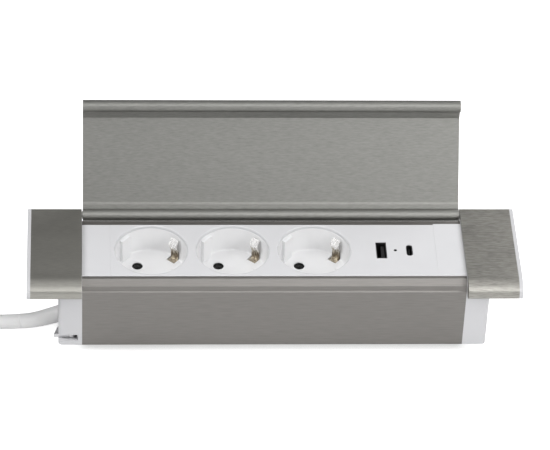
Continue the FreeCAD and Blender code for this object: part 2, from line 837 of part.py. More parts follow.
def earth_busbar():
    """A brass strip under the clips' bridges, with a leg down to the terminal block."""
    body = new_body("earth_busbar")
    top = f"({INSERT_UNDER} - clip_bridge_gap - clip_thickness)"
    half = "earth_bar_width / 2"
    line = "socket_line"
    start = "block_length / 2 - block_left"
    strip = rect(start, "earth_bar_end", f"{line} - {half}", f"{line} + {half}")
    pad(body, "strip", "z", f"{top} - bar_thickness", top, strip)
    leg = rect(start, f"{start} + bar_thickness", f"{line} - {half}", f"{line} + {half}")
    pad(body, "leg", "z", "block_base + block_height", top, leg)


def terminal_block():
    """A moulded block with three wire entries at the left and three screw wells on top."""
    body = new_body("terminal_block")
    left, right = "-block_left", "block_length - block_left"
    top = "(block_base + block_height)"
    block = rect(left, right, "-block_width / 2", "block_width / 2")
    pad(body, "block", "z", "block_base", top, block)
    for index, place_y in enumerate(("-10", "-4", "9")):
        well = disc(f"{left} + 3", place_y, "1.6")
        cut(body, f"well{index}", "z", f"{top} - 3", top, well)


def supply_leads():
    """Three insulated cores between the cord's sheath and the terminal block."""
    start, end = f"({GLAND_INNER_END})", "-block_left"
    line, high = "gland_line", "gland_height"
    places = [(line, f"{high} + lead_rise")]
    places += [(f"{line} {sign} lead_spread", f"{high} + 0.1") for sign in "-+"]
    cores = []
    for index, (y, z) in enumerate(places):
        length = f"{end} - {start}"
        core = rod(f"core{index}", "lead_radius", length, start, y, z, Vector(0, 1, 0), "90")
        cores.append(core)
    group("supply_leads", cores)


def board_screws():
    inset = "board_screw_inset"
    x = f"board_length / 2 - {inset}"
    y = f"board_width / 2 - {inset}"
    return [(f"{USB_MIDDLE} - ({x})", f"-({y})"), (f"{USB_MIDDLE} + ({x})", y)]


def usb_module():
    """The board that hangs from the panel, with its ports, light pipe and larger components."""
    board = new_body("usb_circuit_board")
    half_x, half_y = "board_length / 2", "board_width / 2"
    plate = rect(f"{USB_MIDDLE} - {half_x}", f"{USB_MIDDLE} + {half_x}", f"-{half_y}", half_y)
    pad(board, "plate", "z", "board_base", BOARD_TOP, plate)
    for index, (x, y) in enumerate(board_screws()):
        hole = disc(x, y, "board_screw_radius + 0.2")
        cut(board, f"hole{index}", "z", "board_base", BOARD_TOP, hole)

    top = f"{PANEL_TOP} - usb_shell_drop"
    tongue_top = f"{PANEL_TOP} - usb_tongue_drop"
    x, y = f"({USB_MIDDLE} + usb_a_offset)", "usb_line"
    shell = new_body("usb_a_shell")
    wide, long, wall = "usb_a_width / 2", "usb_a_length / 2", "usb_shell_wall"
    outer = rect(f"{x} - {wide}", f"{x} + {wide}", f"{y} - {long}", f"{y} + {long}")
    wide, long = f"({wide} - {wall})", f"({long} - {wall})"
    inner = rect(f"{x} - {wide}", f"{x} + {wide}", f"{y} - {long}", f"{y} + {long}")
    pad(shell, "tube", "z", BOARD_TOP, top, outer, inner)
    tongue = new_body("usb_a_tongue")
    x, long = f"({x} + usb_a_tongue_shift)", "usb_a_tongue_length / 2"
    wide = "usb_a_tongue_width / 2"
    shape = rect(f"{x} - {wide}", f"{x} + {wide}", f"{y} - {long}", f"{y} + {long}")
    pad(tongue, "tongue", "z", BOARD_TOP, tongue_top, shape)

    x = f"({USB_MIDDLE} + usb_c_offset)"
    shell = new_body("usb_c_shell")
    outer = stadium(x, "usb_c_width", "usb_c_length")
    inner = stadium(x, "usb_c_width", "usb_c_length", f"-{wall}")
    pad(shell, "tube", "z", BOARD_TOP, top, outer, inner)
    tongue = new_body("usb_c_tongue")
    wide, long = "usb_c_tongue_width / 2", "usb_c_tongue_length / 2"
    shape = rect(f"{x} - {wide}", f"{x} + {wide}", f"{y} - {long}", f"{y} + {long}")
    pad(tongue, "tongue", "z", BOARD_TOP, tongue_top, shape)

    light = new_body("status_light")
    pad(light, "pipe", "z", BOARD_TOP, PANEL_TOP, disc(USB_MIDDLE, "usb_line", "light_radius"))
    core = new_body("usb_transformer")
    half = "transformer_length / 2"
    shape = rect(f"{USB_MIDDLE} - {half}", f"{USB_MIDDLE} + {half}", f"-{half}", half)
    pad(core, "core", "z", "board_base - transformer_height", "board_base", shape)
    cans = []
    low = "board_base - capacitor_height"
    x = f"{USB_MIDDLE} + board_length / 2 - 6"
    for index, y in enumerate(("-8", "8")):
        cans.append(rod(f"can{index}", "capacitor_radius", "capacitor_height", x, y, low))
    group("usb_capacitors", cans)
    pins = []
    low = "bar_height + bar_thickness"
    for index, sign in enumerate("-+"):
        y = f"socket_line {sign} pin_circle_radius * sin(socket_turn)"
        height = f"board_base - ({low})"
        pins.append(rod(f"feed{index}", "feed_pin_radius", height, "bar_end - 2", y, low))
    group("usb_feed_pins", pins)
    screws = []
    for index, (x, y) in enumerate(board_screws()):
        screw = doc.addObject("PartDesign::Body", f"board_screw{index}")
        head = "board_screw_head_height"
        tip = "board_thickness + board_screw_length - 0.5"
        stages = (("board_screw_head_radius", f"-{head}", "0"), ("board_screw_radius", "0", tip))
        lathe(screw, "turned", stepped(*stages))
        place(screw, x, y, "board_base")
        screws.append(screw)
    group("usb_board_screws", screws)


CAP_SCREWS = [("floor_port_offset", "port_floor_height"), (WALL_PORT, "port_wall_height")]


def turn_round(feature, side):
    """The right-hand pieces are the left-hand ones turned half round about the upright axis."""
    if side > 0:
        feature.Placement = Placement(Vector(0, 0, 0), Rotation(Vector(0, 0, 1), 180.0))


def end_cap(name, side):
    """A hollow moulding: end box, worktop flange, clamp chamber, screw bosses and tongues."""
    body = new_body(name + "_end_cap")
    end, inner, corner = f"-{CAP_END}", f"-{HALF}", "cap_corner"
    box = [
        (f"{end} + {corner}", FRONT),
        (inner, FRONT),
        (inner, BACK),
        (f"{end} + {corner}", BACK, corner, "left"),
        (end, f"{BACK} - {corner}"),
        (end, f"{FRONT} + {corner}", corner, "left"),
    ]
    pad(body, "box", "z", "0", SHELF, box)
    flange_top = f"({HINGE_Z} + hinge_drop - plate_thickness - strip_extra)"
    lip_back = f"({FRONT} - lid_overhang + 2 * lip_radius + flange_gap)"
    slope = "(lip_slope_start - 2 * lip_radius)"
    flange = [
        (lip_back, SHELF),
        (FLANGE_BACK, SHELF),
        (FLANGE_BACK, flange_top),
        (f"{lip_back} + {slope}", flange_top),
        (lip_back, f"{flange_top} - {slope} * 0.85"),
    ]
    flange = [(f"{-side} * ({y})", z) for y, z in flange]
    pad(body, "flange", "x", f"-{FLANGE_END}", inner, flange)

    hollow_front = f"({CLAMP_Y} + chamber_size / 2 + cap_front_wall)"
    roof = f"({SHELF} - 2)"
    hollow = rect(hollow_front, f"{BACK} - cap_wall", "cap_wall", roof)
    cut(body, "hollow", "x", f"{end} + cap_side_wall", f"{inner} + 1", hollow)
    for index, (y, z) in enumerate(CAP_SCREWS):
        boss = disc(y, z, "port_radius + 0.3")
        pad(body, f"boss{index}", "x", f"{end} + 1", inner, boss)
        hole = disc(y, z, "cap_screw_radius + screw_clearance")
        cut(body, f"screw_hole{index}", "x", f"{end} - 1", f"{inner} + 1", hole)
        well = disc(y, z, "cap_screw_head_radius + screw_clearance")
        cut(body, f"screw_well{index}", "x", f"{end} - 1", f"{end} + cap_side_wall + 0.2", well)

    floor, wall = "channel_floor + tongue_gap", f"{BACK} - channel_wall - tongue_gap"
    half = "tongue_width / 2"
    tongue = rect(f"-{half}", half, floor, f"{floor} + tongue_thickness")
    start, stop = f"{end} + 1", f"{inner} + tongue_length"
    pad(body, "floor_tongue", "x", start, stop, tongue)
    low, high = f"{SHELF} - 11", f"{SHELF} - 2"
    for label, back, front in (
        ("back_tongue", wall, f"{wall} - tongue_thickness"),
        ("front_tongue", f"-({wall}) + tongue_thickness", f"-({wall})"),
    ):
        start = f"{inner} - 2"
        pad(body, label, "x", start, stop, rect(front, back, low, high))

    half = "chamber_size / 2"
    left, right = f"-{CLAMP_X} - {half}", f"{half} - {CLAMP_X}"
    near, far = f"{CLAMP_Y} - {half}", f"{CLAMP_Y} + {half}"
    cut(body, "chamber", "z", "chamber_floor", SHELF, rect(left, right, near, far))
    seat = f"{SHELF} + flange_floor"
    bore = disc(f"-{CLAMP_X}", CLAMP_Y, "clamp_screw_radius + screw_clearance")
    cut(body, "clamp_bore", "z", f"{SHELF} - 1", f"{seat} + 1", bore)
    well = disc(f"-{CLAMP_X}", CLAMP_Y, "clamp_head_radius + screw_clearance")
    cut(body, "clamp_well", "z", seat, f"{flange_top} + 1", well)
    window_top = "window_base + window_height"
    shape = rect(near, far, "window_base", "slot_top")
    cut(body, "slot", "x", f"{end} - 1", f"{end} + cap_side_wall + 0.5", shape)
    shape = rect(f"{end} - 1", f"-({HALF} + window_right)", "window_base", window_top)
    cut(body, "window", "y", f"{FRONT} - 1", f"{FRONT} + cap_front_wall + 0.2", shape)

    rib, outer = "flange_rib", f"-{FLANGE_END}"
    low = f"{SHELF} + flange_floor"
    front, back = f"{lip_back} + {slope} + {rib}", f"{FLANGE_BACK} - {rib}"
    if side > 0:
        front, back = f"-({back})", f"-({front})"
    tray = rect(f"{outer} + {rib}", f"{left} - {rib}", front, back)
    cut(body, "tray", "z", low, f"{flange_top} + 1", tray)
    tray = rect(f"{left}", f"{inner} - {rib}", f"{far} + 2 * {rib}", back)
    cut(body, "inner_tray", "z", low, f"{flange_top} + 1", tray)
    if side < 0:
        hole = disc("gland_line", "gland_height", "gland_neck_radius")
        cut(body, "gland_hole", "x", f"{end} - 1", f"{end} + cap_side_wall + 0.5", hole)
    turn_round(body, side)


def end_cap_screws():
    """Two pan-head screws through each cap into the channel's ports."""
    screws = []
    for name, side in SIDES.items():
        for index, (y, z) in enumerate(CAP_SCREWS):
            screw = doc.addObject("PartDesign::Body", f"{name}_cap_screw{index}")
            stages = (
                ("cap_screw_head_radius", "-cap_screw_head_height", "0"),
                ("cap_screw_radius", "0", "cap_screw_length"),
            )
            lathe(screw, "turned", stepped(*stages))
            head_x = f"({CAP_END} - cap_side_wall - 0.2)"
            turn = "90" if side < 0 else "-90"
            y = y if side < 0 else f"-({y})"
            place(screw, f"{side} * {head_x}", y, z, Vector(0, 1, 0), turn)
            screws.append(screw)
    group("end_cap_screws", screws)


def clamp(name, side):
    """The worktop clamp: a long screw, its retaining ring, a square nut and the claw it carries."""
    x, y = f"{side} * {CLAMP_X}", f"{-side} * {CLAMP_Y}"
    seat = f"({SHELF} + flange_floor)"
    turn = "180" if side > 0 else "0"
    about = Vector(0, 0, 1)

    screw = new_body(name + "_clamp_screw")
    radius = "clamp_screw_radius"
    stages = ((radius, "nut_base", seat), ("clamp_head_radius", seat, f"{seat} + clamp_head_height"))
    lathe(screw, "turned", stepped(*stages))
    top = f"{seat} + clamp_head_height"
    half = "clamp_slot_width / 2"
    for label, shape in (
        ("slot_x", rect("-2.2", "2.2", f"-{half}", half)),
        ("slot_y", rect(f"-{half}", half, "-2.2", "2.2")),
    ):
        cut(screw, label, "z", f"{top} - 1.4", f"{top} + 1", shape)
    place(screw, x, y, "0")

    ring = new_body(name + "_screw_retainer")
    high = f"{SHELF} - retainer_gap"
    shapes = (disc("0", "0", "retainer_radius"), disc("0", "0", radius))
    pad(ring, "ring", "z", f"{high} - retainer_thickness", high, *shapes)
    place(ring, x, y, "0")

    nut = new_body(name + "_clamp_nut")
    bore = disc("0", "0", f"{radius} + thread_gap")
    half, top = "nut_size / 2", "(nut_base + nut_height)"
    pad(nut, "square", "z", "nut_base", top, rect(f"-{half}", half, f"-{half}", half), bore)
    neck = f"({top} + claw_thickness - rivet_height)"
    pad(nut, "collar", "z", f"{top} - 0.2", neck, disc("0", "0", "collar_radius"), bore)
    rivet = (disc("0", "0", "rivet_radius"), bore)
    pad(nut, "rivet", "z", neck, f"{neck} + rivet_height", *rivet)
    place(nut, x, y, "0", about, turn)

    claw = new_body(name + "_clamp_claw")
    hub, reach, half = "claw_hub_radius", "claw_reach", "claw_half_width"
    shape = [
        ("0", f"-{hub}", hub, "left"),
        (hub, "0", hub, "left"),
        ("0", hub),
        (f"-{reach} + claw_nib", half),
        (f"-{reach}", f"{half} - claw_nib"),
        (f"-{reach}", f"-{half}"),
        (f"-{reach} + 2 * claw_nib", f"-{half}"),
    ]
    low = f"({top} + claw_gap)"
    hole = disc("0", "0", "collar_radius + thread_gap")
    pad(claw, "plate", "z", low, f"{low} + claw_thickness", shape, hole)
    recess = disc("0", "0", "rivet_radius + claw_gap")
    sunk = f"{low} + claw_thickness - rivet_height - 2 * claw_gap"
    cut(claw, "rivet_recess", "z", sunk, f"{low} + claw_thickness + 1", recess)
    place(claw, x, y, "0", about, turn)


def cable_gland():
    """The moulded strain relief: a grooved plug in the cap's wall and a tapered sleeve outside."""
    body = doc.addObject("PartDesign::Body", "gland_plug")
    wall, inner = "cap_side_wall", "gland_inner_length"
    sheath = f"({wall} + {inner} + gland_sheath_length)"
    neck, bead = "gland_neck_radius", "gland_inner_radius"
    corners = [
        ("0", f"-{sheath}"),
        ("cord_diameter / 2", f"-{sheath}"),
        ("cord_diameter / 2", f"-({wall} + {inner})"),
        (bead, f"-({wall} + {inner}) + 1.5"),
        (bead, f"-{wall}"),
        (neck, f"-{wall}"),
        (neck, "0"),
        ("0", "0"),
    ]
    lathe(body, "plug", corners)
    place(body, f"-{CAP_END}", "gland_line", "gland_height", Vector(0, 1, 0), "-90")

    sleeve = doc.addObject("PartDesign::Body", "gland_sleeve")
    length, outer, mouth = "gland_outer_length", "gland_outer_radius", "gland_mouth_radius"
    root = "(gland_outer_radius * tan(gland_droop))"
    corners = [
        ("0", f"-{root} - 1"),
        (outer, f"-{root} - 1"),
        (outer, "1.5"),
        (mouth, length),
        ("0", length),
    ]
    lathe(sleeve, "sleeve", corners)
    place(sleeve, f"-{CAP_END}", "gland_line", "gland_height", Vector(0, 1, 0), "-90 - gland_droop")
    keep = doc.addObject("Part::Box", "outside")
    bind(keep, "Length", "40")
    bind(keep, "Width", "40")
    bind(keep, "Height", "40")
    place(keep, f"-{CAP_END} - 40", "gland_line - 20", "gland_height - 20")
    outside = doc.addObject("Part::Common", "sleeve_outside")
    outside.Base = sleeve
    outside.Tool = keep
    gland = doc.addObject("Part::Fuse", "gland")
    gland.Base = body
    gland.Tool = outside
    piece("cable_gland", gland)


def route_edges(points):
    """Straight runs joined by arcs, each as large as its two runs allow, and the arcs' radii."""
    runs = [(b - a).Length for a, b in zip(points, points[1:])]
    edges, radii = [], []
    last = points[0]
    for i in range(1, len(points) - 1):
        back = (points[i - 1] - points[i]).normalize()
        ahead = (points[i + 1] - points[i]).normalize()
        turn = math.pi - back.getAngle(ahead)
        reach = 0.45 * min(runs[i - 1], runs[i])
        radius = reach / math.tan(turn / 2)
        start, end = points[i] + back * reach, points[i] + ahead * reach
        inward = (back + ahead).normalize()
        middle = points[i] + inward * (math.hypot(radius, reach) - radius)
        edges.append(Part.LineSegment(last, start).toShape())
        edges.append(Part.Arc(start, middle, end).toShape())
        radii.append(radius)
        last = end
    edges.append(Part.LineSegment(last, points[-1]).toShape())
    return edges, radii


def tube(label, edges):
    """One tube of the cord's section along a path, and its length."""
    path = Part.Wire(edges)
    start = edges[0].firstVertex().Point
    ahead = edges[0].tangentAt(edges[0].FirstParameter)
    radius = value("cord_diameter / 2")
    ring = Part.Wire(Part.Circle(start, ahead, radius).toShape())
    solid = path.makePipeShell([ring], True, False)
    feature = doc.addObject("Part::Feature", "tube_" + label)
    feature.Shape = solid
    piece(label, feature)
    section = math.pi * radius**2
    print(f"{label}: {path.Length:.1f} mm, volume over section x length"
          f" {solid.Volume / (section * path.Length):.4f}")
    return path.Length


def along(angle_degrees):
    """The direction in the upright plane of the cord, heading left, raised by an angle."""
    angle = math.radians(angle_degrees)
    return Vector(-math.cos(angle), 0, math.sin(angle))


def coil_edges(start, inner_radius, pitch):
    """Half turns that spiral in, one tilted half turn that climbs a layer, and half turns out.

    The joints lie on one line along Y, so that half turns about centres half a pitch apart meet
    with one tangent. Each half turn is two quarter arcs.
    """
    step = pitch / 2
    count = 2 * LAYER_TURNS
    radii = [inner_radius + step * k for k in range(count, -1, -1)]
    radii += [inner_radius + step * k for k in range(1, count)]
    edges, here, heading = [], start, Vector(-1, 0, 0)
    for index, radius in enumerate(radii):
        back = 1.0 if index % 2 == 0 else -1.0
        climbing = index == count
        rise = pitch if climbing else 0.0
        centre_shift = Vector(0, back * math.sqrt(radius**2 - (rise / 2) ** 2), rise / 2)
        centre = here + centre_shift
        reach = centre_shift.Length
        first = (here - centre).normalize()
        for quarter in range(2):
            points = []
            for share in (0.0, 0.5, 1.0):
                angle = (quarter + share) * math.pi / 2
                points.append(
                    centre + first * (reach * math.cos(angle)) + heading * (reach * math.sin(angle))
                )
            edges.append(Part.Arc(*points).toShape())
        here = centre + centre_shift
        heading = heading * -1.0
    return edges, here


def least_gap(edges, diameter):
    """The least clear space between two stretches of the path over three diameters apart."""
    points, stations, run = [], [], 0.0
    for edge in edges:
        count = max(2, int(edge.Length / 2.5))
        for i in range(count):
            parameter = edge.FirstParameter + (edge.LastParameter - edge.FirstParameter) * i / count
            points.append(edge.valueAt(parameter))
            stations.append(run + edge.Length * i / count)
        run += edge.Length
    best = math.inf
    for i, point in enumerate(points):
        for j in range(i + 1, len(points)):
            if stations[j] - stations[i] > 3 * diameter:
                best = min(best, point.distanceToPoint(points[j]))
    return best - diameter


def cord():
    """The cord from its gland to its plug: a short free run, the put-away coil and a tail."""
    diameter = value("cord_diameter")
    pitch = value("cord_diameter + turn_gap")
    floor = diameter / 2
    root = Vector(value(f"-{CAP_END}"), value("gland_line"), value("gland_height"))
    droop = value("gland_droop")
    mouth = root + along(-droop) * value("gland_outer_length")
    drop_run = (mouth.z - floor) / math.sin(math.radians(droop))
    low = floor + value("coil_lift")
    coil_x, line = -value("coil_centre_left"), value("cord_line")
    entry = Vector(coil_x + diameter, line, low)
    landing = mouth + along(-droop) * drop_run
    free = entry.x - landing.x
    points = [
        mouth,
        landing,
        Vector(landing.x + free * 0.27, line + 0.5, floor),
        Vector(landing.x + free * 0.55, line - 0.25, floor + 0.1),
        Vector(entry.x + 16.0, line, low),
        entry,
    ]
    edges, radii = route_edges(points)
    print("cord radii, mm:", [round(r) for r in radii])
    free_length = tube("power_cord", edges)

    tail_run = value("tail_run")
    top = low + pitch
    rim = value("tail_run + plug_relief_length + plug_grip_length + plug_rim_start")
    rest = math.asin((top - value("plug_rest_gap")) / math.hypot(rim, value("plug_radius")))
    tilt = math.degrees(math.atan2(value("plug_radius"), rim) - rest)
    turns = 2 * LAYER_TURNS
    straight = free_length + 2 * diameter + 2 * tail_run
    inner = (value("cord_length") - straight) / (2 * turns * math.pi) - LAYER_TURNS * pitch / 2
    arcs, finish = coil_edges(Vector(coil_x, line, low), inner, pitch)
    lead_in = Part.LineSegment(entry, Vector(coil_x, line, low)).toShape()
    leave = finish + Vector(-diameter, 0, 0)
    lead_out = Part.LineSegment(finish, leave).toShape()
    coil = [lead_in, *arcs, lead_out]
    coil_length = tube("cord_coil", coil)
    print(f"coil: inner radius {inner:.2f}, least gap to itself {least_gap(coil, diameter):.3f} mm")
    bend = leave + Vector(-tail_run, 0, 0)
    end = bend + along(tilt) * tail_run
    edges, radii = route_edges([leave, bend, end])
    print("tail radii, mm:", [round(r) for r in radii], f"plug tilt {tilt:.2f} degrees")
    tail_length = tube("cord_tail", edges)
    print(f"cord length {free_length + coil_length + tail_length:.1f} mm")
    coil_tie(coil_x, line, low, inner, pitch)
    plug(end, tilt)


def coil_tie(x, line, low, inner, pitch):
    """A strap round all the turns at the coil's back, where the outer turn runs along X."""
    body = new_body("cord_tie")
    gap, thick = value("tie_gap"), value("tie_thickness")
    radius = value("cord_diameter / 2")
    near = line + 2 * inner + 2 * LAYER_TURNS * pitch / 2 - radius - gap
    far = near + LAYER_TURNS * pitch + 2 * radius + 2 * gap
    top = low + pitch + radius + 0.1
    outer = rect(*(str(size) for size in (near - thick, far + thick, 0.0, top + thick)))
    inner_edge = rect(*(str(size) for size in (near, far, thick, top)))
    half = value("tie_width") / 2
    pad(body, "strap", "x", str(x - half), str(x + half), outer, inner_edge)


def plug(entry, tilt):
    """An earthed plug that lies on its side, with its tapered relief, pins and side contacts."""
    relief, length, radius = "plug_relief_length", "plug_length", "plug_radius"
    back = "plug_back_radius"
    body = new_body("plug_body")
    corners = [
        ("0", "0"),
        ("cord_diameter / 2 + 0.2", "0"),
        ("plug_relief_radius", relief),
        (back, f"{relief} + 1.5"),
        (f"{back} + 1.2", f"{relief} + 6"),
        (back, f"{relief} + plug_grip_length"),
        (f"{radius} - 1.2", f"{relief} + plug_grip_length + 3"),
        (radius, f"{relief} + plug_grip_length + plug_rim_start"),
        (radius, f"{relief} + {length} - 0.8"),
        (f"{radius} - 0.8", f"{relief} + {length}"),
        ("0", f"{relief} + {length}"),
    ]
    lathe(body, "turned", corners)
    front = f"({relief} + {length})"
    start = f"{front} - plug_contact_length - 1.5"
    for side, sign in SIDES.items():
        near, far = span(sign, f"{radius} - plug_groove_depth", f"{radius} + 1")
        groove = rect(near, far, "-plug_groove_width / 2", "plug_groove_width / 2")
        cut(body, side + "_groove", "z", start, f"{front} + 1", groove)
        near, far = span(sign, "plug_contact_line - plug_contact_thickness", f"{radius} + 1")
        half = "(plug_contact_width / 2)"
        groove = rect(f"-{half}", half, near, far)
        begin = f"{front} - plug_contact_length"
        cut(body, side + "_contact_bed", "z", begin, f"{front} + 1", groove)
    upright = Rotation(Vector(1, 0, 0), 0)
    lie = Rotation(Vector(0, 0, 1), along(tilt)).multiply(Rotation(Vector(0, 0, 1), 35.0))
    where = Placement(entry, lie.multiply(upright))
    body.Placement = where

    pins = []
    for index, sign in enumerate((-1, 1)):
        pin = doc.addObject("PartDesign::Body", f"plug_pin{index}")
        radius, length = "plug_pin_radius", "plug_pin_length"
        corners = [
            ("0", "0"),
            (radius, "0"),
            (radius, f"{length} - 1.5"),
            (f"{radius} - 1.1", length),
            ("0", length),
        ]
        lathe(pin, "turned", corners)
        offset = Vector(sign * value("plug_pin_spacing / 2"), 0, value(front))
        pin.Placement = where.multiply(Placement(offset, Rotation()))
        pins.append(pin)
    group("plug_pins", pins)

    strips = []
    for index, sign in enumerate((-1, 1)):
        strip = doc.addObject("Part::Box", f"plug_contact{index}")
        bind(strip, "Length", "plug_contact_width")
        bind(strip, "Width", "plug_contact_thickness")
        bind(strip, "Height", "plug_contact_length")
        low = "plug_contact_line - plug_contact_thickness"
        y = value(low) if sign > 0 else -value("plug_contact_line")
        offset = Vector(-value("plug_contact_width / 2"), y, value(f"{front} - plug_contact_length"))
        strip.Placement = where.multiply(Placement(offset, Rotation()))
        strips.append(strip)
    group("plug_earth_contacts", strips)


def check_and_write():
    """Write each sub-part to its own file, once nothing in the document has failed."""
    doc.recompute()
    for item in doc.Objects:
        if any(state in item.State for state in ("Invalid", "Error")):
            raise ValueError(f"{item.Name} failed: {item.State}")
    for feature in pieces:
        shape = feature.Shape
        if shape.isNull() or not shape.isValid():
            raise ValueError(f"{feature.Label} has no valid shape")
    os.makedirs("parts", exist_ok=True)
    for feature in pieces:
        feature.Shape.exportStep(f"parts/{feature.Label}.step")
    print(len(pieces), "nodes")


def build():
    body_channel()
    lid_panel()
    for name, side in SIDES.items():
        wing_cover(name, side)
        end_trim(name, side)
        hinge_side(name, side)
        blank_panel(name, side)
        end_cap(name, side)
        clamp(name, side)
    end_cap_screws()
    socket_panel()
    for index in range(3):
        socket_insert(index)
        earth_clip(index)
    contact_busbar("live_busbar", -1)
    contact_busbar("neutral_busbar", 1)
    earth_busbar()
    terminal_block()
    supply_leads()
    usb_module()
    cable_gland()
    cord()
    check_and_write()


build()
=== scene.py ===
# The origin is the middle of the channel's underside. This script adds the camera, the lights,
# the finishes and a few pieces that need more form than the frame has.

import math

import bmesh
import bpy
import numpy as np
from mathutils import Matrix, Vector


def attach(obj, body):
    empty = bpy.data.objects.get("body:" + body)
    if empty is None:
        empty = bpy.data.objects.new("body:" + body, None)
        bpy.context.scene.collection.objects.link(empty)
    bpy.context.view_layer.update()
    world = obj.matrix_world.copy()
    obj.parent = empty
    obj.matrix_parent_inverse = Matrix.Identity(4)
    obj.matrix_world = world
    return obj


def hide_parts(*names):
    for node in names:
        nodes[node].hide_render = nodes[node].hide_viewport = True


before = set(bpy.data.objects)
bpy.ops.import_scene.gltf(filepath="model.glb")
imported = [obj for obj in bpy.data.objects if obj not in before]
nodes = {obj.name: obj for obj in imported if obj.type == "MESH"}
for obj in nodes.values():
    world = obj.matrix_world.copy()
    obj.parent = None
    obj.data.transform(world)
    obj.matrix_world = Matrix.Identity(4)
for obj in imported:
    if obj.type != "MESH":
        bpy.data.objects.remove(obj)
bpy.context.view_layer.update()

# %% [markdown]
# ## The camera
# The picture was taken from the front, 40.8 degrees above the table and a little from the left,
# with a long lens from about 1.9 m. A camera can be aimed by hand or by a Track To constraint.
# Here its three axes are worked out from two angles and set as a matrix, because that says
# exactly where it looks and doesn't depend on any other object.

# %% Place the camera
TILT, PAN = math.radians(40.78), math.radians(3.275)
STAND = (-0.1065, -1.4105, 1.2816)
FOCAL_LENGTH, SENSOR_WIDTH = 222.8, 36.0  # millimetres

level_up = Vector((0, math.sin(TILT), math.cos(TILT)))
ahead = Vector((0, math.cos(TILT), -math.sin(TILT)))
side = Vector((1, 0, 0))
forward = ahead * math.cos(PAN) + side * math.sin(PAN)
right = side * math.cos(PAN) - ahead * math.sin(PAN)
lens = bpy.data.cameras.new("long_lens")
lens.lens = FOCAL_LENGTH
lens.sensor_width = SENSOR_WIDTH
lens.clip_end = 20.0
camera = bpy.data.objects.new("camera", lens)
axes = Matrix((right, level_up, -forward)).transposed()
camera.matrix_world = Matrix.Translation(STAND) @ axes.to_4x4()
bpy.context.collection.objects.link(camera)
bpy.context.scene.camera = camera
print("camera looks along", [round(v, 3) for v in forward])

# %% [markdown]
# ## The mains cord
# A round three-core cord of 8.2 mm leaves the gland, sinks to the table and runs out of the
# picture. The rest of its 1.8 m is put away in a coil of two layers. It could be a row of
# cylinders or a mesh swept along a path. Here it is one NURBS curve, because such a curve only
# leans on its control points, so a listed route still bends as smoothly as cord. Each half
# turn of the coil has eight control points. They sit on a slightly larger circle, where the
# tangents of the wanted circle meet.

# %% The route, listed in metres
CORD = 0.0082  # the cord's diameter
LINE = -0.0122  # Y of its straight run
LOW = 0.005  # height of the coil's lower layer
route = [
    (-0.1186, -0.0100, 0.0088),
    (-0.1266, -0.0100, 0.0056),
    (-0.1352, -0.0109, 0.0041),
    (-0.1472, -0.0116, 0.0041),
    (-0.1652, -0.0118, 0.0041),
    (-0.18338, -0.0122, 0.0042),
    (-0.1998, LINE, LOW),
    (-0.2158, LINE, LOW),
]
print(len(route), "points from the gland to the coil")

# %% The coil: half turns that spiral in, one that climbs, and half turns that spiral out
COIL_X = -0.224  # where the half turns start and end
COIL_PITCH = 0.0087  # from turn to turn, and from layer to layer
COIL_INNER = 0.03127  # radius of the innermost half turn
LAYER_TURNS = 3
SPOKES = 8  # control points of a half turn


def coil_points():
    """Points on circles of radius R / cos(pi / 2n), at angles (j + 1/2) pi / n, n points each.

    A half turn starts at 'here' and heads along X. Its centre is one radius away along Y, and
    the radii differ by half a pitch, so that neighbouring turns lie a pitch apart.
    """
    inward = [COIL_INNER + COIL_PITCH / 2 * k for k in range(2 * LAYER_TURNS, -1, -1)]
    outward = [COIL_INNER + COIL_PITCH / 2 * k for k in range(1, 2 * LAYER_TURNS)]
    here, heading, points = np.array([COIL_X, LINE, LOW]), np.array([-1.0, 0.0, 0.0]), []
    angle = (np.arange(SPOKES) + 0.5) * math.pi / SPOKES
    for index, radius in enumerate(inward + outward):
        back = 1.0 if index % 2 == 0 else -1.0
        rise = COIL_PITCH if index == 2 * LAYER_TURNS else 0.0
        shift = np.array([0.0, back * math.sqrt(radius**2 - (rise / 2) ** 2), rise / 2])
        reach = radius / math.cos(math.pi / (2 * SPOKES))
        across = -shift / np.linalg.norm(shift)
        turn = np.outer(np.cos(angle), across) + np.outer(np.sin(angle), heading)
        points.extend((here + shift + reach * turn).tolist())
        here, heading = here + 2 * shift, -heading
    return points, here


turns, coil_end = coil_points()
print(len(turns), "coil points, leaves at", [round(float(v), 4) for v in coil_end])

# %% One smooth curve from the gland through the coil to the plug's tail
plug_line = float(coil_end[1])
route += turns
route += [
    (-0.2322, plug_line, LOW + COIL_PITCH),
    (-0.2447, plug_line, LOW + COIL_PITCH),
    (-0.25714, plug_line, 0.01487),
]
curve = bpy.data.curves.new("mains_cord", "CURVE")
curve.dimensions = "3D"
curve.bevel_depth = 1.0  # times the radius of each point
curve.bevel_resolution = 8
curve.resolution_u = 6
curve.use_fill_caps = True
spline = curve.splines.new("NURBS")
spline.points.add(len(route) - 1)
spline.points.foreach_set("co", np.hstack([route, np.ones((len(route), 1))]).ravel())
spline.points.foreach_set("radius", np.full(len(route), CORD / 2))
spline.order_u = 3
spline.use_endpoint_u = True
mains_cord = bpy.data.objects.new("mains_cord", curve)
bpy.context.collection.objects.link(mains_cord)
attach(mains_cord, "frame")
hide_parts("power_cord", "cord_coil", "cord_tail")
print("cord laid through", len(route), "points")

# %% [markdown]
# ## The strain relief
# Where the cord leaves the cap it is held by a moulded sleeve that thins out along the cord and
# bends with it. It could be a cone bent by a Curve modifier. Here its surface is a circle carried
# along the cord's own line, because then it fits the cord everywhere: the line is read from the
# spline, and the circle's radius falls with the distance from the cap.

# %% Read the cord's line


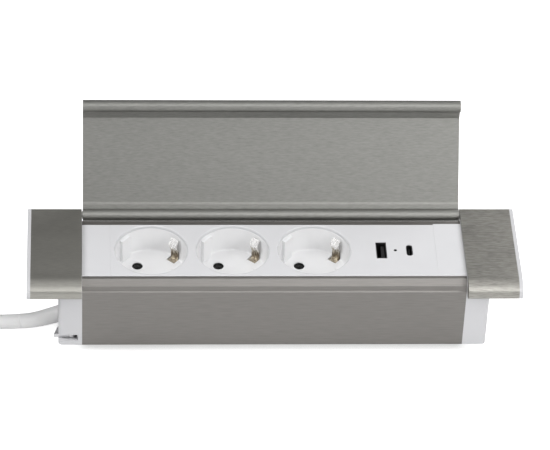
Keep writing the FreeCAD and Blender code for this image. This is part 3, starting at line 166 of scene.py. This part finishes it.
def line_of(cord_object):
    """Points along the spline, in order, from a copy of the curve that has no thickness."""
    bare = cord_object.data.copy()
    bare.bevel_depth = 0.0
    bare.resolution_u = 24
    holder = bpy.data.objects.new("bare_line", bare)
    mesh = bpy.data.meshes.new_from_object(holder)
    found = np.empty(len(mesh.vertices) * 3)
    mesh.vertices.foreach_get("co", found)
    bpy.data.objects.remove(holder)
    bpy.data.meshes.remove(mesh)
    bpy.data.curves.remove(bare)
    return found.reshape(-1, 3)


cord_line = line_of(mains_cord)
run = np.concatenate([[0], np.cumsum(np.linalg.norm(np.diff(cord_line, axis=0), axis=1))])
print("cord line:", len(cord_line), "points,", round(float(run[-1]), 4), "m")

# %% Two helpers for surfaces that are made of rings


def band(rows, steps, closed=False):
    """Quads (i, j), (i, j + 1), (i + 1, j + 1), (i + 1, j) between rings of 'steps' points.

    The points of a ring always close up. 'closed' joins the last ring to the first as well.
    """
    row, col = np.meshgrid(np.arange(rows if closed else rows - 1), np.arange(steps), indexing="ij")
    row, col = row.ravel(), col.ravel()
    after, above = (col + 1) % steps, (row + 1) % rows * steps
    row = row * steps
    return np.stack([row + col, row + after, above + after, above + col], axis=-1)


def new_piece(name, points, faces, merge=0.0, smooth=True):
    """An object from points and faces. Points closer than 'merge' become one point."""
    mesh = bpy.data.meshes.new(name)
    mesh.from_pydata(points.tolist(), [], faces)
    mesh.update()
    made = bmesh.new()
    made.from_mesh(mesh)
    if merge:
        bmesh.ops.remove_doubles(made, verts=made.verts, dist=merge)
    bmesh.ops.recalc_face_normals(made, faces=made.faces)
    made.to_mesh(mesh)
    made.free()
    if smooth:
        mesh.shade_smooth()
    piece = bpy.data.objects.new(name, mesh)
    bpy.context.collection.objects.link(piece)
    return piece


print("three rings of four points make", len(band(3, 4)), "faces, or", len(band(3, 4, True)))

# %% Carry circles along a line


def carried(name, line, radius, start, steps=40):
    """Tube: point(i, j) = line_i + r_i (cos a_j side_i + sin a_j up_i), closed by flat ends.

    side_i is level and square to the ring's axis, and up_i is square to both. The axis is
    'start' at the wall, so the first ring lies flat on it, and turns to the line's own
    direction by the middle.
    """
    own = np.gradient(line, axis=0)
    own /= np.linalg.norm(own, axis=1)[:, None]
    share = np.clip(np.linspace(0, 2, len(line)), 0, 1)[:, None]
    axis = share * own + (1 - share) * np.array(start)
    axis /= np.linalg.norm(axis, axis=1)[:, None]
    level = np.cross(axis, (0.0, 0.0, 1.0))
    level /= np.linalg.norm(level, axis=1)[:, None]
    upward = np.cross(level, axis)
    angle = np.arange(steps) * 2 * math.pi / steps
    spread = level[:, None] * np.cos(angle)[:, None] + upward[:, None] * np.sin(angle)[:, None]
    points = (line[:, None] + radius[:, None, None] * spread).reshape(-1, 3)
    ends = [list(range(steps))[::-1], list(range(len(points) - steps, len(points)))]
    return new_piece(name, points, band(len(line), steps).tolist() + ends)


# %% The sleeve: its radius falls from 4.9 to 4.2 mm, and its last ring closes on the cord
SLEEVE_LENGTH, SLEEVE_RINGS = 0.022, 45
SLEEVE_RADIUS, SLEEVE_TAPER = 0.0049, 0.0007
TABLE_GAP = 0.00002  # left between the sleeve and the table

along_sleeve = np.linspace(0.0, SLEEVE_LENGTH, SLEEVE_RINGS)
sleeve_line = np.stack([np.interp(along_sleeve, run, cord_line[:, k]) for k in range(3)], axis=-1)
thinned = np.sin(along_sleeve / SLEEVE_LENGTH * math.pi / 2)
sleeve_radius = SLEEVE_RADIUS - SLEEVE_TAPER * thinned
sleeve_radius[-1] = CORD / 2
sleeve_line[:, 2] = np.maximum(sleeve_line[:, 2], sleeve_radius + TABLE_GAP)
strain_relief = carried("strain_relief", sleeve_line, sleeve_radius, (-1.0, 0.0, 0.0))
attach(strain_relief, "frame")
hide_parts("cable_gland")
print("lowest sleeve point", round(float(min(v.co.z for v in strain_relief.data.vertices)), 5))

# %% [markdown]
# ## Pin shutters, black as painted shade
# Behind each pin hole a real socket can have a shutter that keeps fingers and wires out. Here it
# is a dished disc just under the well's floor, and its even black is painted shade that stands in
# for the dark deep in the hole. It could be a cylinder with its top edited by hand. Here each one
# is a surface of revolution, a profile of radius and height turned about the hole's axis, because a
# few numbers then say where its rim and its dish are, and one call makes all six.

# %% A helper that turns one profile about several axes


def turned_pieces(name, profile, centres, steps=32):
    """Surface of revolution: point(i, j) = centre + r_i (cos a_j, sin a_j) at height z_i.

    The profile starts and ends on the axis, so each copy closes at both poles, where the points
    of a ring fall together and are merged.
    """
    radius, height = np.array(profile).T
    angle = np.arange(steps) * 2 * math.pi / steps
    ring_x, ring_y = np.outer(radius, np.cos(angle)), np.outer(radius, np.sin(angle))
    grid = np.stack([ring_x, ring_y, np.outer(height, np.ones(steps))], axis=-1).reshape(-1, 3)
    quads = band(len(radius), steps)
    points = np.concatenate([grid + centre for centre in centres])
    faces = np.concatenate([quads + k * len(grid) for k in range(len(centres))])
    return new_piece(name, points, faces.tolist(), merge=1e-7)


# %% Six shutters, two to a socket
SOCKET_PITCH, SOCKET_Y, WELL_FLOOR = 0.045, 0.0013, 0.0285
SOCKET_TURN = math.radians(-40)
PIN_REACH = 0.0095  # from the socket's middle to a pin hole

pin_line = PIN_REACH * np.array([math.cos(SOCKET_TURN), math.sin(SOCKET_TURN), 0.0])
holes = [
    np.array([step * SOCKET_PITCH, SOCKET_Y, 0.0]) + way * pin_line
    for step in (-1.5, -0.5, 0.5)
    for way in (-1, 1)
]
# Each row is a radius and a depth under the well's floor.
dish = [
    (0.0, 0.0007),
    (0.0009, 0.00072),
    (0.0012, 0.00095),
    (0.0024, 0.0008),
    (0.00285, 0.0004),
    (0.00297, 0.0005),
    (0.00297, 0.0024),
    (0.0, 0.0024),
]
profile = [(radius, WELL_FLOOR - depth) for radius, depth in dish]
pin_shutters = turned_pieces("pin_shutters", profile, holes)
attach(pin_shutters, "frame")
print(len(holes), "shutters of", len(pin_shutters.data.polygons) // len(holes), "faces")

# %% [markdown]
# ## The left clamp claw
# The claw that shows at the left cap is a cast plate with a slanted end. It could be a block cut
# to shape with Booleans. Here its outline is one radius for each angle about the screw, so rings
# of it can be stacked and joined, because that gives softened edges and a stepped hole without
# any cut.

# %% The claw's outline
HUB = (-0.1124, -0.0204)  # the screw's axis
ROUND_END, HALF_WIDTH = 0.0038, 0.00335
SLANT, SLANT_REACH = math.radians(160.6), 0.0072


def claw_outline(angle):
    """Radius at an angle: a round end, two level sides and a slanted end.

    A side whose outward direction is f and whose distance is d cuts the radius at d / cos(a - f).
    """
    level_side = HALF_WIDTH / np.maximum(np.abs(np.sin(angle)), 1e-6)
    slanted_end = SLANT_REACH / np.maximum(np.cos(angle - SLANT), 1e-6)
    return np.where(np.cos(angle) > 0, ROUND_END, np.minimum(level_side, slanted_end))


print("slanted end", round(float(claw_outline(SLANT)), 4), "m from the screw")

# %% Stack rings into a plate


def stacked_plate(name, hub, outline, rings, steps=96):
    """Closed band: point(i, j) = hub + (r_i or outline_j - inset_i) (cos a_j, sin a_j) at z_i."""
    angle = (np.arange(steps) + 0.5) * 2 * math.pi / steps
    edge = outline(angle)
    radius = np.array([np.full(steps, r) if r else edge - inset for r, inset, _ in rings])
    x, y = hub[0] + radius * np.cos(angle), hub[1] + radius * np.sin(angle)
    z = np.array([[height] * steps for _, _, height in rings])
    points = np.stack([x, y, z], axis=-1).reshape(-1, 3)
    return new_piece(name, points, band(len(rings), steps, closed=True).tolist(), smooth=False)


BORE, COUNTERBORE = 0.00285, 0.0033
SOFTENED = 0.0003
# Each row is a radius, or 0 for the outline, an inset from the outline, and a height.
rings = [
    (BORE, 0, 0.0035),
    (0, SOFTENED, 0.0035),
    (0, 0, 0.0038),
    (0, 0, 0.0058),
    (0, SOFTENED, 0.0061),
    (COUNTERBORE, 0, 0.0061),
    (COUNTERBORE, 0, 0.0055),
    (BORE, 0, 0.0055),
]
left_claw_plate = stacked_plate("left_claw_plate", HUB, claw_outline, rings)
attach(left_claw_plate, "left_claw")
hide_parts("left_clamp_claw")
print("claw plate of", len(left_claw_plate.data.polygons), "faces")

# %% [markdown]
# ## A small toolkit for finishes
# Each finish is one Principled shader. What varies on it, such as streaks or grain, could be
# painted or taken from pictures. Here it is noise in Object coordinates, because noise has no
# seams and keeps its real size on every piece: the coordinates are metres, so a scale of 1000
# makes cells of about a millimetre. What is the same everywhere sits on the shader's own sockets.

# %% Node helpers


class Finish:
    """A node material with one Principled shader, and short ways to wire patterns to it."""

    def __init__(self, name, colour, roughness, metallic=0.0, gloss=0.5):
        self.material = bpy.data.materials.new(name)
        self.material.use_nodes = True
        self.material.diffuse_color = (*colour, 1.0)
        self.tree = self.material.node_tree
        self.shader = self.tree.nodes["Principled BSDF"]
        self.shader.inputs["Base Color"].default_value = (*colour, 1.0)
        self.shader.inputs["Roughness"].default_value = roughness
        self.shader.inputs["Metallic"].default_value = metallic
        self.shader.inputs["Specular IOR Level"].default_value = gloss
        self.where = self.add("ShaderNodeTexCoord").outputs["Object"]

    def add(self, kind, **settings):
        node = self.tree.nodes.new(kind)
        for name, setting in settings.items():
            setattr(node, name, setting)
        return node

    def wire(self, source, target):
        self.tree.links.new(source, target)

    def calculate(self, kind, operation, *values):
        """A Math or VectorMath node. Each value is a socket, or a number or vector as it is."""
        node = self.add("ShaderNode" + kind, operation=operation)
        for socket, value in zip(node.inputs, values):
            if isinstance(value, bpy.types.NodeSocket):
                self.wire(value, socket)
            else:
                socket.default_value = value
        return node

    def stretched(self, scale, source=None):
        """Coordinates multiplied by a scale on each axis, in cells per metre."""
        node = self.add("ShaderNodeMapping")
        node.inputs["Scale"].default_value = scale
        self.wire(source or self.where, node.inputs["Vector"])
        return node.outputs["Vector"]

    def noise(self, where, detail=2.0, roughness=0.5):
        """Noise of one cell per unit of the coordinates given."""
        node = self.add("ShaderNodeTexNoise")
        node.inputs["Scale"].default_value = 1.0
        node.inputs["Detail"].default_value = detail
        node.inputs["Roughness"].default_value = roughness
        self.wire(where, node.inputs["Vector"])
        return node.outputs["Fac"]

    def ranged(self, source, low, high, start=0.3, end=0.7):
        """The source from start to end, spread from low to high. Noise is mostly 0.3 to 0.7."""
        node = self.add("ShaderNodeMapRange")
        numbers = (start, end, low, high)
        for socket, number in zip(("From Min", "From Max", "To Min", "To Max"), numbers):
            node.inputs[socket].default_value = number
        self.wire(source, node.inputs["Value"])
        return node.outputs["Result"]

    def ramp(self, source, stops):
        """Colours set at positions from 0 to 1 along the source."""
        node = self.add("ShaderNodeValToRGB")
        marks = node.color_ramp.elements
        while len(marks) < len(stops):
            marks.new(0.5)
        for mark, (position, _) in zip(marks, stops):
            mark.position = position
        for mark, (_, colour) in zip(marks, stops):
            mark.color = (*colour, 1.0)
        self.wire(source, node.inputs["Fac"])
        return node.outputs["Color"]

    def tinted(self, source, dark, light, start=0.3, end=0.7):
        """Base colour from dark to light as the source goes from start to end."""
        colour = self.ramp(source, ((start, dark), (end, light)))
        self.wire(colour, self.shader.inputs["Base Color"])

    def rough(self, source):
        self.wire(source, self.shader.inputs["Roughness"])

    def bump(self, source, depth):
        """A relief of that depth in metres."""
        node = self.add("ShaderNodeBump")
        node.inputs["Strength"].default_value = 1.0
        node.inputs["Distance"].default_value = depth
        self.wire(source, node.inputs["Height"])
        self.wire(node.outputs["Normal"], self.shader.inputs["Normal"])


print("helpers:", ", ".join(name for name in vars(Finish) if not name.startswith("_")))

# %% Scale a colour, and dress CAD nodes
MICRON = 0.000001


def scaled(colour, factor):
    """The colour times a factor, never above white."""
    return tuple(min(channel * factor, 1) for channel in colour)


def dress(finish, *names):
    """Give CAD nodes a finish by way of their material slots."""
    for name in names:
        slots = nodes[name].data.materials
        slots.clear()
        slots.append(finish.material)
    print(finish.material.name, "on", ", ".join(names))


# %% [markdown]
# ## Brushed aluminium
# The lid, the wings and the channel are extruded aluminium with a satin grain brushed along
# their length. It could be an anisotropic shader, which bends the highlight but shows no
# scratches. Here the noise is stretched into cells 4 to 11 mm long and half to three quarters of
# a millimetre across, because each hair then has its own place. It drives colour, roughness and
# a relief of microns. Both wings have broad faint patches as well, and the right wing has a
# coarser grain whose lines sway a little, as in the photo.

# %% Metal with hairs along X
SWAY_CELLS, PATCH_CELLS = (40, 70, 70), (25, 90, 90)
FINE_HAIRS = (260, 1900, 1900)


def brushed(name, grey, contrast, hair, sway=0.0, patches=0.0, sheen=0.5):
    """Noise in long thin cells, whose lines sway by a slower noise and are patched by another."""
    metal = Finish(name, grey, sheen, metallic=1.0)
    slow = metal.noise(metal.stretched(SWAY_CELLS), detail=1.0)
    drift = metal.ranged(slow, -sway, sway)
    sideways = metal.add("ShaderNodeCombineXYZ")
    metal.wire(drift, sideways.inputs["Y"])
    metal.wire(drift, sideways.inputs["Z"])
    moved = metal.calculate("VectorMath", "ADD", metal.where, sideways.outputs["Vector"])
    bent = moved.outputs["Vector"]
    hairs = metal.noise(metal.stretched(hair, bent), detail=4.0, roughness=0.6)
    cloud = metal.noise(metal.stretched(PATCH_CELLS, bent))
    spread = metal.ranged(cloud, -patches, patches)
    streaks = metal.calculate("Math", "ADD", hairs, spread).outputs["Value"]
    metal.tinted(streaks, scaled(grey, 1 - contrast), scaled(grey, 1 + contrast))
    metal.rough(metal.ranged(streaks, sheen - 0.04, sheen + 0.04))
    metal.bump(hairs, 3 * MICRON)
    return metal


lid_metal = brushed("lid_aluminium", (0.272, 0.271, 0.256), 0.14, FINE_HAIRS)
# The left wing is a little lighter in colour than the right: painted light that lifts the shade it
# gets.
left_metal = brushed(
    "left_wing_metal", (0.385, 0.377, 0.348), 0.08, FINE_HAIRS, patches=0.04, sheen=0.44
)
right_metal = brushed(
    "right_wing_metal",
    (0.365, 0.356, 0.329),
    0.24,
    (190, 1400, 1400),
    sway=0.0006,
    patches=0.06,
    sheen=0.4,
)
channel_metal = brushed("channel_aluminium", (0.256, 0.246, 0.234), 0.1, (90, 1500, 1500))
dress(left_metal, "left_wing_cover")
dress(right_metal, "right_wing_cover")
dress(channel_metal, "body_channel")

# %% [markdown]
# ## The painted highlight beside the lid's bead
# Beside its hinge bead the lid has a painted highlight: a slightly lighter strip with a bright line
# in it, which stands in for the light that a step in the plate and its edge catch. It could be a
# material of its own on a few faces. Here the distance from the hinge axis, up along the open lid,
# drives a factor on the colour, because the faces need no split. A ramp holds nothing above 1, so
# it gives half of each factor and the product is doubled.

# %% Paint a highlight on the lid by the distance from its hinge axis
HINGE_AXIS = (0.0, 0.0315, 0.0453)
UP_THE_LID = (0.0, 0.5563, 0.831)  # sine and cosine of its lean, 33.8 degrees
HIGHLIGHT_LENGTH = 0.014
# Each pair is a share of the strip's length and half of the painted highlight's factor there.
HALF_HIGHLIGHT_FACTORS = ((0.0, 0.53), (0.4, 0.53), (0.44, 0.69), (0.49, 0.69), (0.53, 0.5), (1.0, 0.5))

# Painted highlight: the colour goes up 6 percent by the bead and 38 percent on a thin line.
from_axis = lid_metal.calculate("VectorMath", "SUBTRACT", lid_metal.where, HINGE_AXIS)
up_plate = lid_metal.calculate(
    "VectorMath", "DOT_PRODUCT", from_axis.outputs["Vector"], UP_THE_LID
)
share = lid_metal.ranged(up_plate.outputs["Value"], 0.0, 1.0, start=0.0, end=HIGHLIGHT_LENGTH)
half = lid_metal.ramp(share, [(position, (level,) * 3) for position, level in HALF_HIGHLIGHT_FACTORS])
streaked = lid_metal.shader.inputs["Base Color"].links[0].from_socket
halved = lid_metal.calculate("VectorMath", "MULTIPLY", streaked, half)
doubled = lid_metal.calculate("VectorMath", "SCALE", halved.outputs["Vector"])
doubled.inputs["Scale"].default_value = 2.0
lid_metal.wire(doubled.outputs["Vector"], lid_metal.shader.inputs["Base Color"])
dress(lid_metal, "lid_panel")

# %% [markdown]
# ## White mouldings
# The panel, the caps and the wells are white plastic with a fine spark-eroded grain and a soft
# sheen. It could be one flat colour. Here noise of about a fifth of a millimetre gives a relief
# of a few microns, and a broad, faint cloud keeps the colour from being dead flat, because no
# moulding is quite even. The three differ a little in the photo, so each has its own white.
# The wells' white is the lightest: painted light that lifts the shade inside them.

# %% White plastic


def moulded(name, colour, roughness, grain=5000, depth=6 * MICRON):
    """Moulded plastic: grain for relief and sheen, and a cloud of one percent in the colour."""
    plastic = Finish(name, colour, roughness)
    cloud = plastic.noise(plastic.stretched((60, 60, 60)))
    plastic.tinted(cloud, scaled(colour, 0.985), scaled(colour, 1.01))
    speckle = plastic.noise(plastic.stretched((grain,) * 3), detail=1.0)
    plastic.rough(plastic.ranged(speckle, roughness - 0.06, roughness + 0.06))
    plastic.bump(speckle, depth)
    return plastic


panel_white = moulded("panel_white", (0.64, 0.64, 0.655), 0.42)
# Painted light: the wells' lighter white lifts the shade inside them.
well_white = moulded("well_white", (0.825, 0.825, 0.83), 0.36)
cap_white = moulded("cap_white", (0.57, 0.57, 0.585), 0.45)
dress(panel_white, "socket_panel", "left_blank_panel", "right_blank_panel")
dress(well_white, "socket_insert_1", "socket_insert_2", "socket_insert_3")
dress(cap_white, "left_end_cap", "right_end_cap", "left_end_trim", "right_end_trim")

# %% [markdown]
# ## Sprung brass
# The earth clips are nickel-plated brass. A clip could be left to mirror the scene. Here part of
# what the clips mirror in the photo is in their colour, by height in the well, because a mirror
# only a few millimetres wide seldom shows the same thing.

# %% Brass with a painted reflection: bright high up and brown low down
SHADE_FROM, SHADE_TO = 0.027, 0.042  # heights in the frame between which the painted reflection runs


def shaded_brass():
    """Nickel over brass, painted reflection by height: bright high up, brown streaks low, pale
    foot.

    The height in the well is in the frame's own metres, and the streaks are noise in cells that
    are tall and narrow.
    """
    metal = Finish("plated_brass", (0.7, 0.66, 0.58), 0.25, metallic=0.55)
    parts = metal.add("ShaderNodeSeparateXYZ")
    metal.wire(metal.where, parts.inputs["Vector"])
    height = metal.ranged(parts.outputs["Z"], 0.0, 1.0, start=SHADE_FROM, end=SHADE_TO)
    streak = metal.noise(metal.stretched((1300, 1300, 160)), detail=3.0, roughness=0.6)
    mixed = metal.calculate("Math", "ADD", height, metal.ranged(streak, -0.16, 0.16))
    brown, pale, white = (0.13, 0.1, 0.07), (0.5, 0.46, 0.38), (0.97, 0.96, 0.95)
    stops = ((0.0, pale), (0.08, pale), (0.16, brown), (0.3, brown), (0.5, pale), (0.7, white))
    colour = metal.ramp(mixed.outputs["Value"], stops)
    metal.wire(colour, metal.shader.inputs["Base Color"])
    metal.rough(metal.ranged(streak, 0.2, 0.35))
    return metal


brass = shaded_brass()
dress(brass, "earth_clip_1", "earth_clip_2", "earth_clip_3", "plug_earth_contacts")
dress(brass, "live_busbar", "neutral_busbar", "earth_busbar")

# %% [markdown]
# ## Plated steel
# The clamp parts, the pins and the screws are zinc-plated steel, and the shells of the two ports
# have the same finish in a much darker colour. It could be one even metal. Here noise of a
# millimetre mottles both the colour and the roughness, because a plated surface is cloudy up close.

# %% Steel
MOTTLE_CELLS = (1200, 1200, 1200)


def plated(name, colour, roughness):
    """Plated metal: mottling of the colour and the roughness at one scale, and fine relief."""
    metal = Finish(name, colour, roughness, metallic=1.0)
    mottle = metal.noise(metal.stretched(MOTTLE_CELLS), detail=4.0, roughness=0.6)
    metal.tinted(mottle, scaled(colour, 1 - 0.12), colour)
    metal.rough(metal.ranged(mottle, roughness - 0.08, roughness + 0.08))
    metal.bump(mottle, 8 * MICRON)
    return metal


steel = plated("zinc_steel", (0.72, 0.72, 0.73), 0.34)
port_steel = plated("port_steel", (0.14, 0.14, 0.145), 0.4)
dress(steel, "left_clamp_screw", "right_clamp_screw", "left_clamp_nut", "right_clamp_nut")
dress(steel, "left_screw_retainer", "right_screw_retainer", "left_hinge_pin", "right_hinge_pin")
dress(steel, "right_clamp_claw", "end_cap_screws", "usb_board_screws")
dress(steel, "usb_feed_pins", "plug_pins")
dress(port_steel, "usb_a_shell", "usb_c_shell")
left_claw_plate.data.materials.append(steel.material)

# %% [markdown]
# ## Dark plastics, board, cord and lens
# The ports' tongues and the parts on the board are black plastic, the hinge bushes are acetal,
# the board is green laminate, the cord has a white sheath and the status light a smoked lens.
# Each could have a shader of its own. Here all but the shutters use the moulding's, with their
# own colour, grain and relief, because all of them are moulded or pressed. The shutters are deep
# in their holes, and their even black is painted shade for the dark there.

# %% The other plastics
# Painted shade: the shutters' even black stands in for the dark deep in the pin holes.
shutter_shade_black = Finish("shutter_shade_black", (0.003, 0.003, 0.003), 0.2, gloss=0.25)
black_plastic = moulded("port_black", (0.012, 0.012, 0.013), 0.4)
bush_plastic = moulded("bush_acetal", (0.6, 0.6, 0.58), 0.35)
board_green = moulded("board_laminate", (0.02, 0.12, 0.05), 0.45, grain=1200, depth=20 * MICRON)
cord_white = moulded("cord_sheath", (0.64, 0.64, 0.64), 0.4, grain=3500, depth=12 * MICRON)
lens_dark = moulded("lens_smoke", (0.02, 0.02, 0.02), 0.12)
dress(black_plastic, "usb_a_tongue", "usb_c_tongue", "usb_transformer", "usb_capacitors")
dress(black_plastic, "terminal_block")
dress(bush_plastic, "left_hinge_bush", "right_hinge_bush")
dress(board_green, "usb_circuit_board")
dress(cord_white, "plug_body", "supply_leads", "cord_tie")
dress(lens_dark, "status_light")
for piece in (mains_cord, strain_relief):
    piece.data.materials.append(cord_white.material)
pin_shutters.data.materials.append(shutter_shade_black.material)

# %% [markdown]
# ## The floor
# In the photo the strip stands on pure white, with a thin shadow only where it touches. Lamps
# strong enough to turn a table white would bleach the strip as well. Here the table is plain
# white for the light that it throws back, but to the camera it is darker and glows, because the
# two can then be set apart. An ambient occlusion node dims the glow close to the strip, which
# makes the shadow, and a ramp along X keeps the ground beside the caps white.

# %% Table
TABLE_SIZE, TABLE_DROP = 8.0, 0.0002
WHITE, SEEN_WHITE = (0.9, 0.9, 0.9), (0.68, 0.68, 0.68)
GLOW, SHADOW_GLOW = 0.85, 0.08
SHADOW_REACH = 0.01
OPEN_FROM = 0.66  # share of open air above which the shadow fades
CHANNEL_PART, CAP_PART = 0.1, 0.122  # distances from the middle along X

bpy.ops.mesh.primitive_plane_add(size=TABLE_SIZE, location=(0, 0, -TABLE_DROP))
table = bpy.context.object
table.name = "table"
paper = Finish("table_white", WHITE, 0.9, gloss=0.1)
camera_ray = paper.add("ShaderNodeLightPath").outputs["Is Camera Ray"]
paper.tinted(camera_ray, WHITE, SEEN_WHITE, start=0.0, end=1.0)
openness = paper.add("ShaderNodeAmbientOcclusion", samples=8)
openness.inputs["Distance"].default_value = SHADOW_REACH
on_table = paper.add("ShaderNodeSeparateXYZ")
paper.wire(paper.where, on_table.inputs["Vector"])
from_middle = paper.calculate("Math", "ABSOLUTE", on_table.outputs["X"])
glow = paper.calculate(
    "Math",
    "MAXIMUM",
    paper.ranged(openness.outputs["AO"], SHADOW_GLOW, GLOW, start=OPEN_FROM, end=1.0),
    paper.ranged(from_middle.outputs["Value"], 0.0, GLOW, start=CHANNEL_PART, end=CAP_PART),
)
seen_glow = paper.calculate("Math", "MULTIPLY", camera_ray, glow.outputs["Value"])
paper.shader.inputs["Emission Color"].default_value = (1.0, 1.0, 1.0, 1.0)
paper.wire(seen_glow.outputs["Value"], paper.shader.inputs["Emission Strength"])
table.data.materials.append(paper.material)
print("table of", TABLE_SIZE, "m")

# %% [markdown]
# ## The light
# The photo has the even light of a studio, with the metal brighter towards the right. It could
# be a picture of a studio wrapped round the scene. Here it is a weak even sky and eight softboxes,
# because each lamp can be rendered alone and weighed: the powers are those whose sum came nearest
# to the photo's levels on the lid, the wings, the channel, the wells and the caps.

# %% Sky
world = bpy.data.worlds.new("studio_sky")
bpy.context.scene.world = world
world.use_nodes = True
sky = world.node_tree.nodes["Background"]
sky.inputs["Color"].default_value = (1.0, 1.0, 1.0, 1.0)
sky.inputs["Strength"].default_value = 0.2
print("sky strength", round(sky.inputs["Strength"].default_value, 2))

# %% Softboxes
TARGET = Vector((0, 0, 0.04))  # the strip's middle, near its top


def softbox(name, stand, size, power):
    """A rectangular lamp that faces the strip."""
    data = bpy.data.lights.new(name, "AREA")
    data.shape = "RECTANGLE"
    data.size, data.size_y = size
    data.energy = power
    lamp = bpy.data.objects.new(name, data)
    lamp.location = stand
    lamp.rotation_euler = (TARGET - Vector(stand)).to_track_quat("-Z", "Y").to_euler()
    lamp.visible_camera = False
    bpy.context.collection.objects.link(lamp)


# Each row is a name, a place, a width and a height in metres, and a power in watts.
lamps = (
    ("front_right", (0.9, -1.0, 0.75), (0.6, 0.6), 7.9),
    ("front_low", (0.2, -1.5, 0.35), (1.4, 0.4), 1.8),
    ("high_front", (0.2, -0.9, 1.5), (1.2, 0.8), 8.4),
    ("high_right", (0.9, -0.5, 1.3), (0.8, 0.8), 1.6),
    ("top_right", (0.9, 0.3, 1.5), (0.8, 0.8), 2.7),
    ("overhead", (0.2, 0.2, 1.8), (1.4, 1.0), 2.6),
    ("back_right", (0.9, 1.1, 1.1), (0.8, 0.6), 5.7),
    ("far_left", (-2.2, -0.3, 2.0), (1.6, 1.6), 45.0),
)
for lamp in lamps:
    softbox(*lamp)
bpy.context.scene.view_settings.view_transform = "Standard"
print(len(lamps), "softboxes")

# %% [markdown]
# ## The boxes
# The dressed strip should fill the box of the packed one and no more. The two could be compared
# by eye.
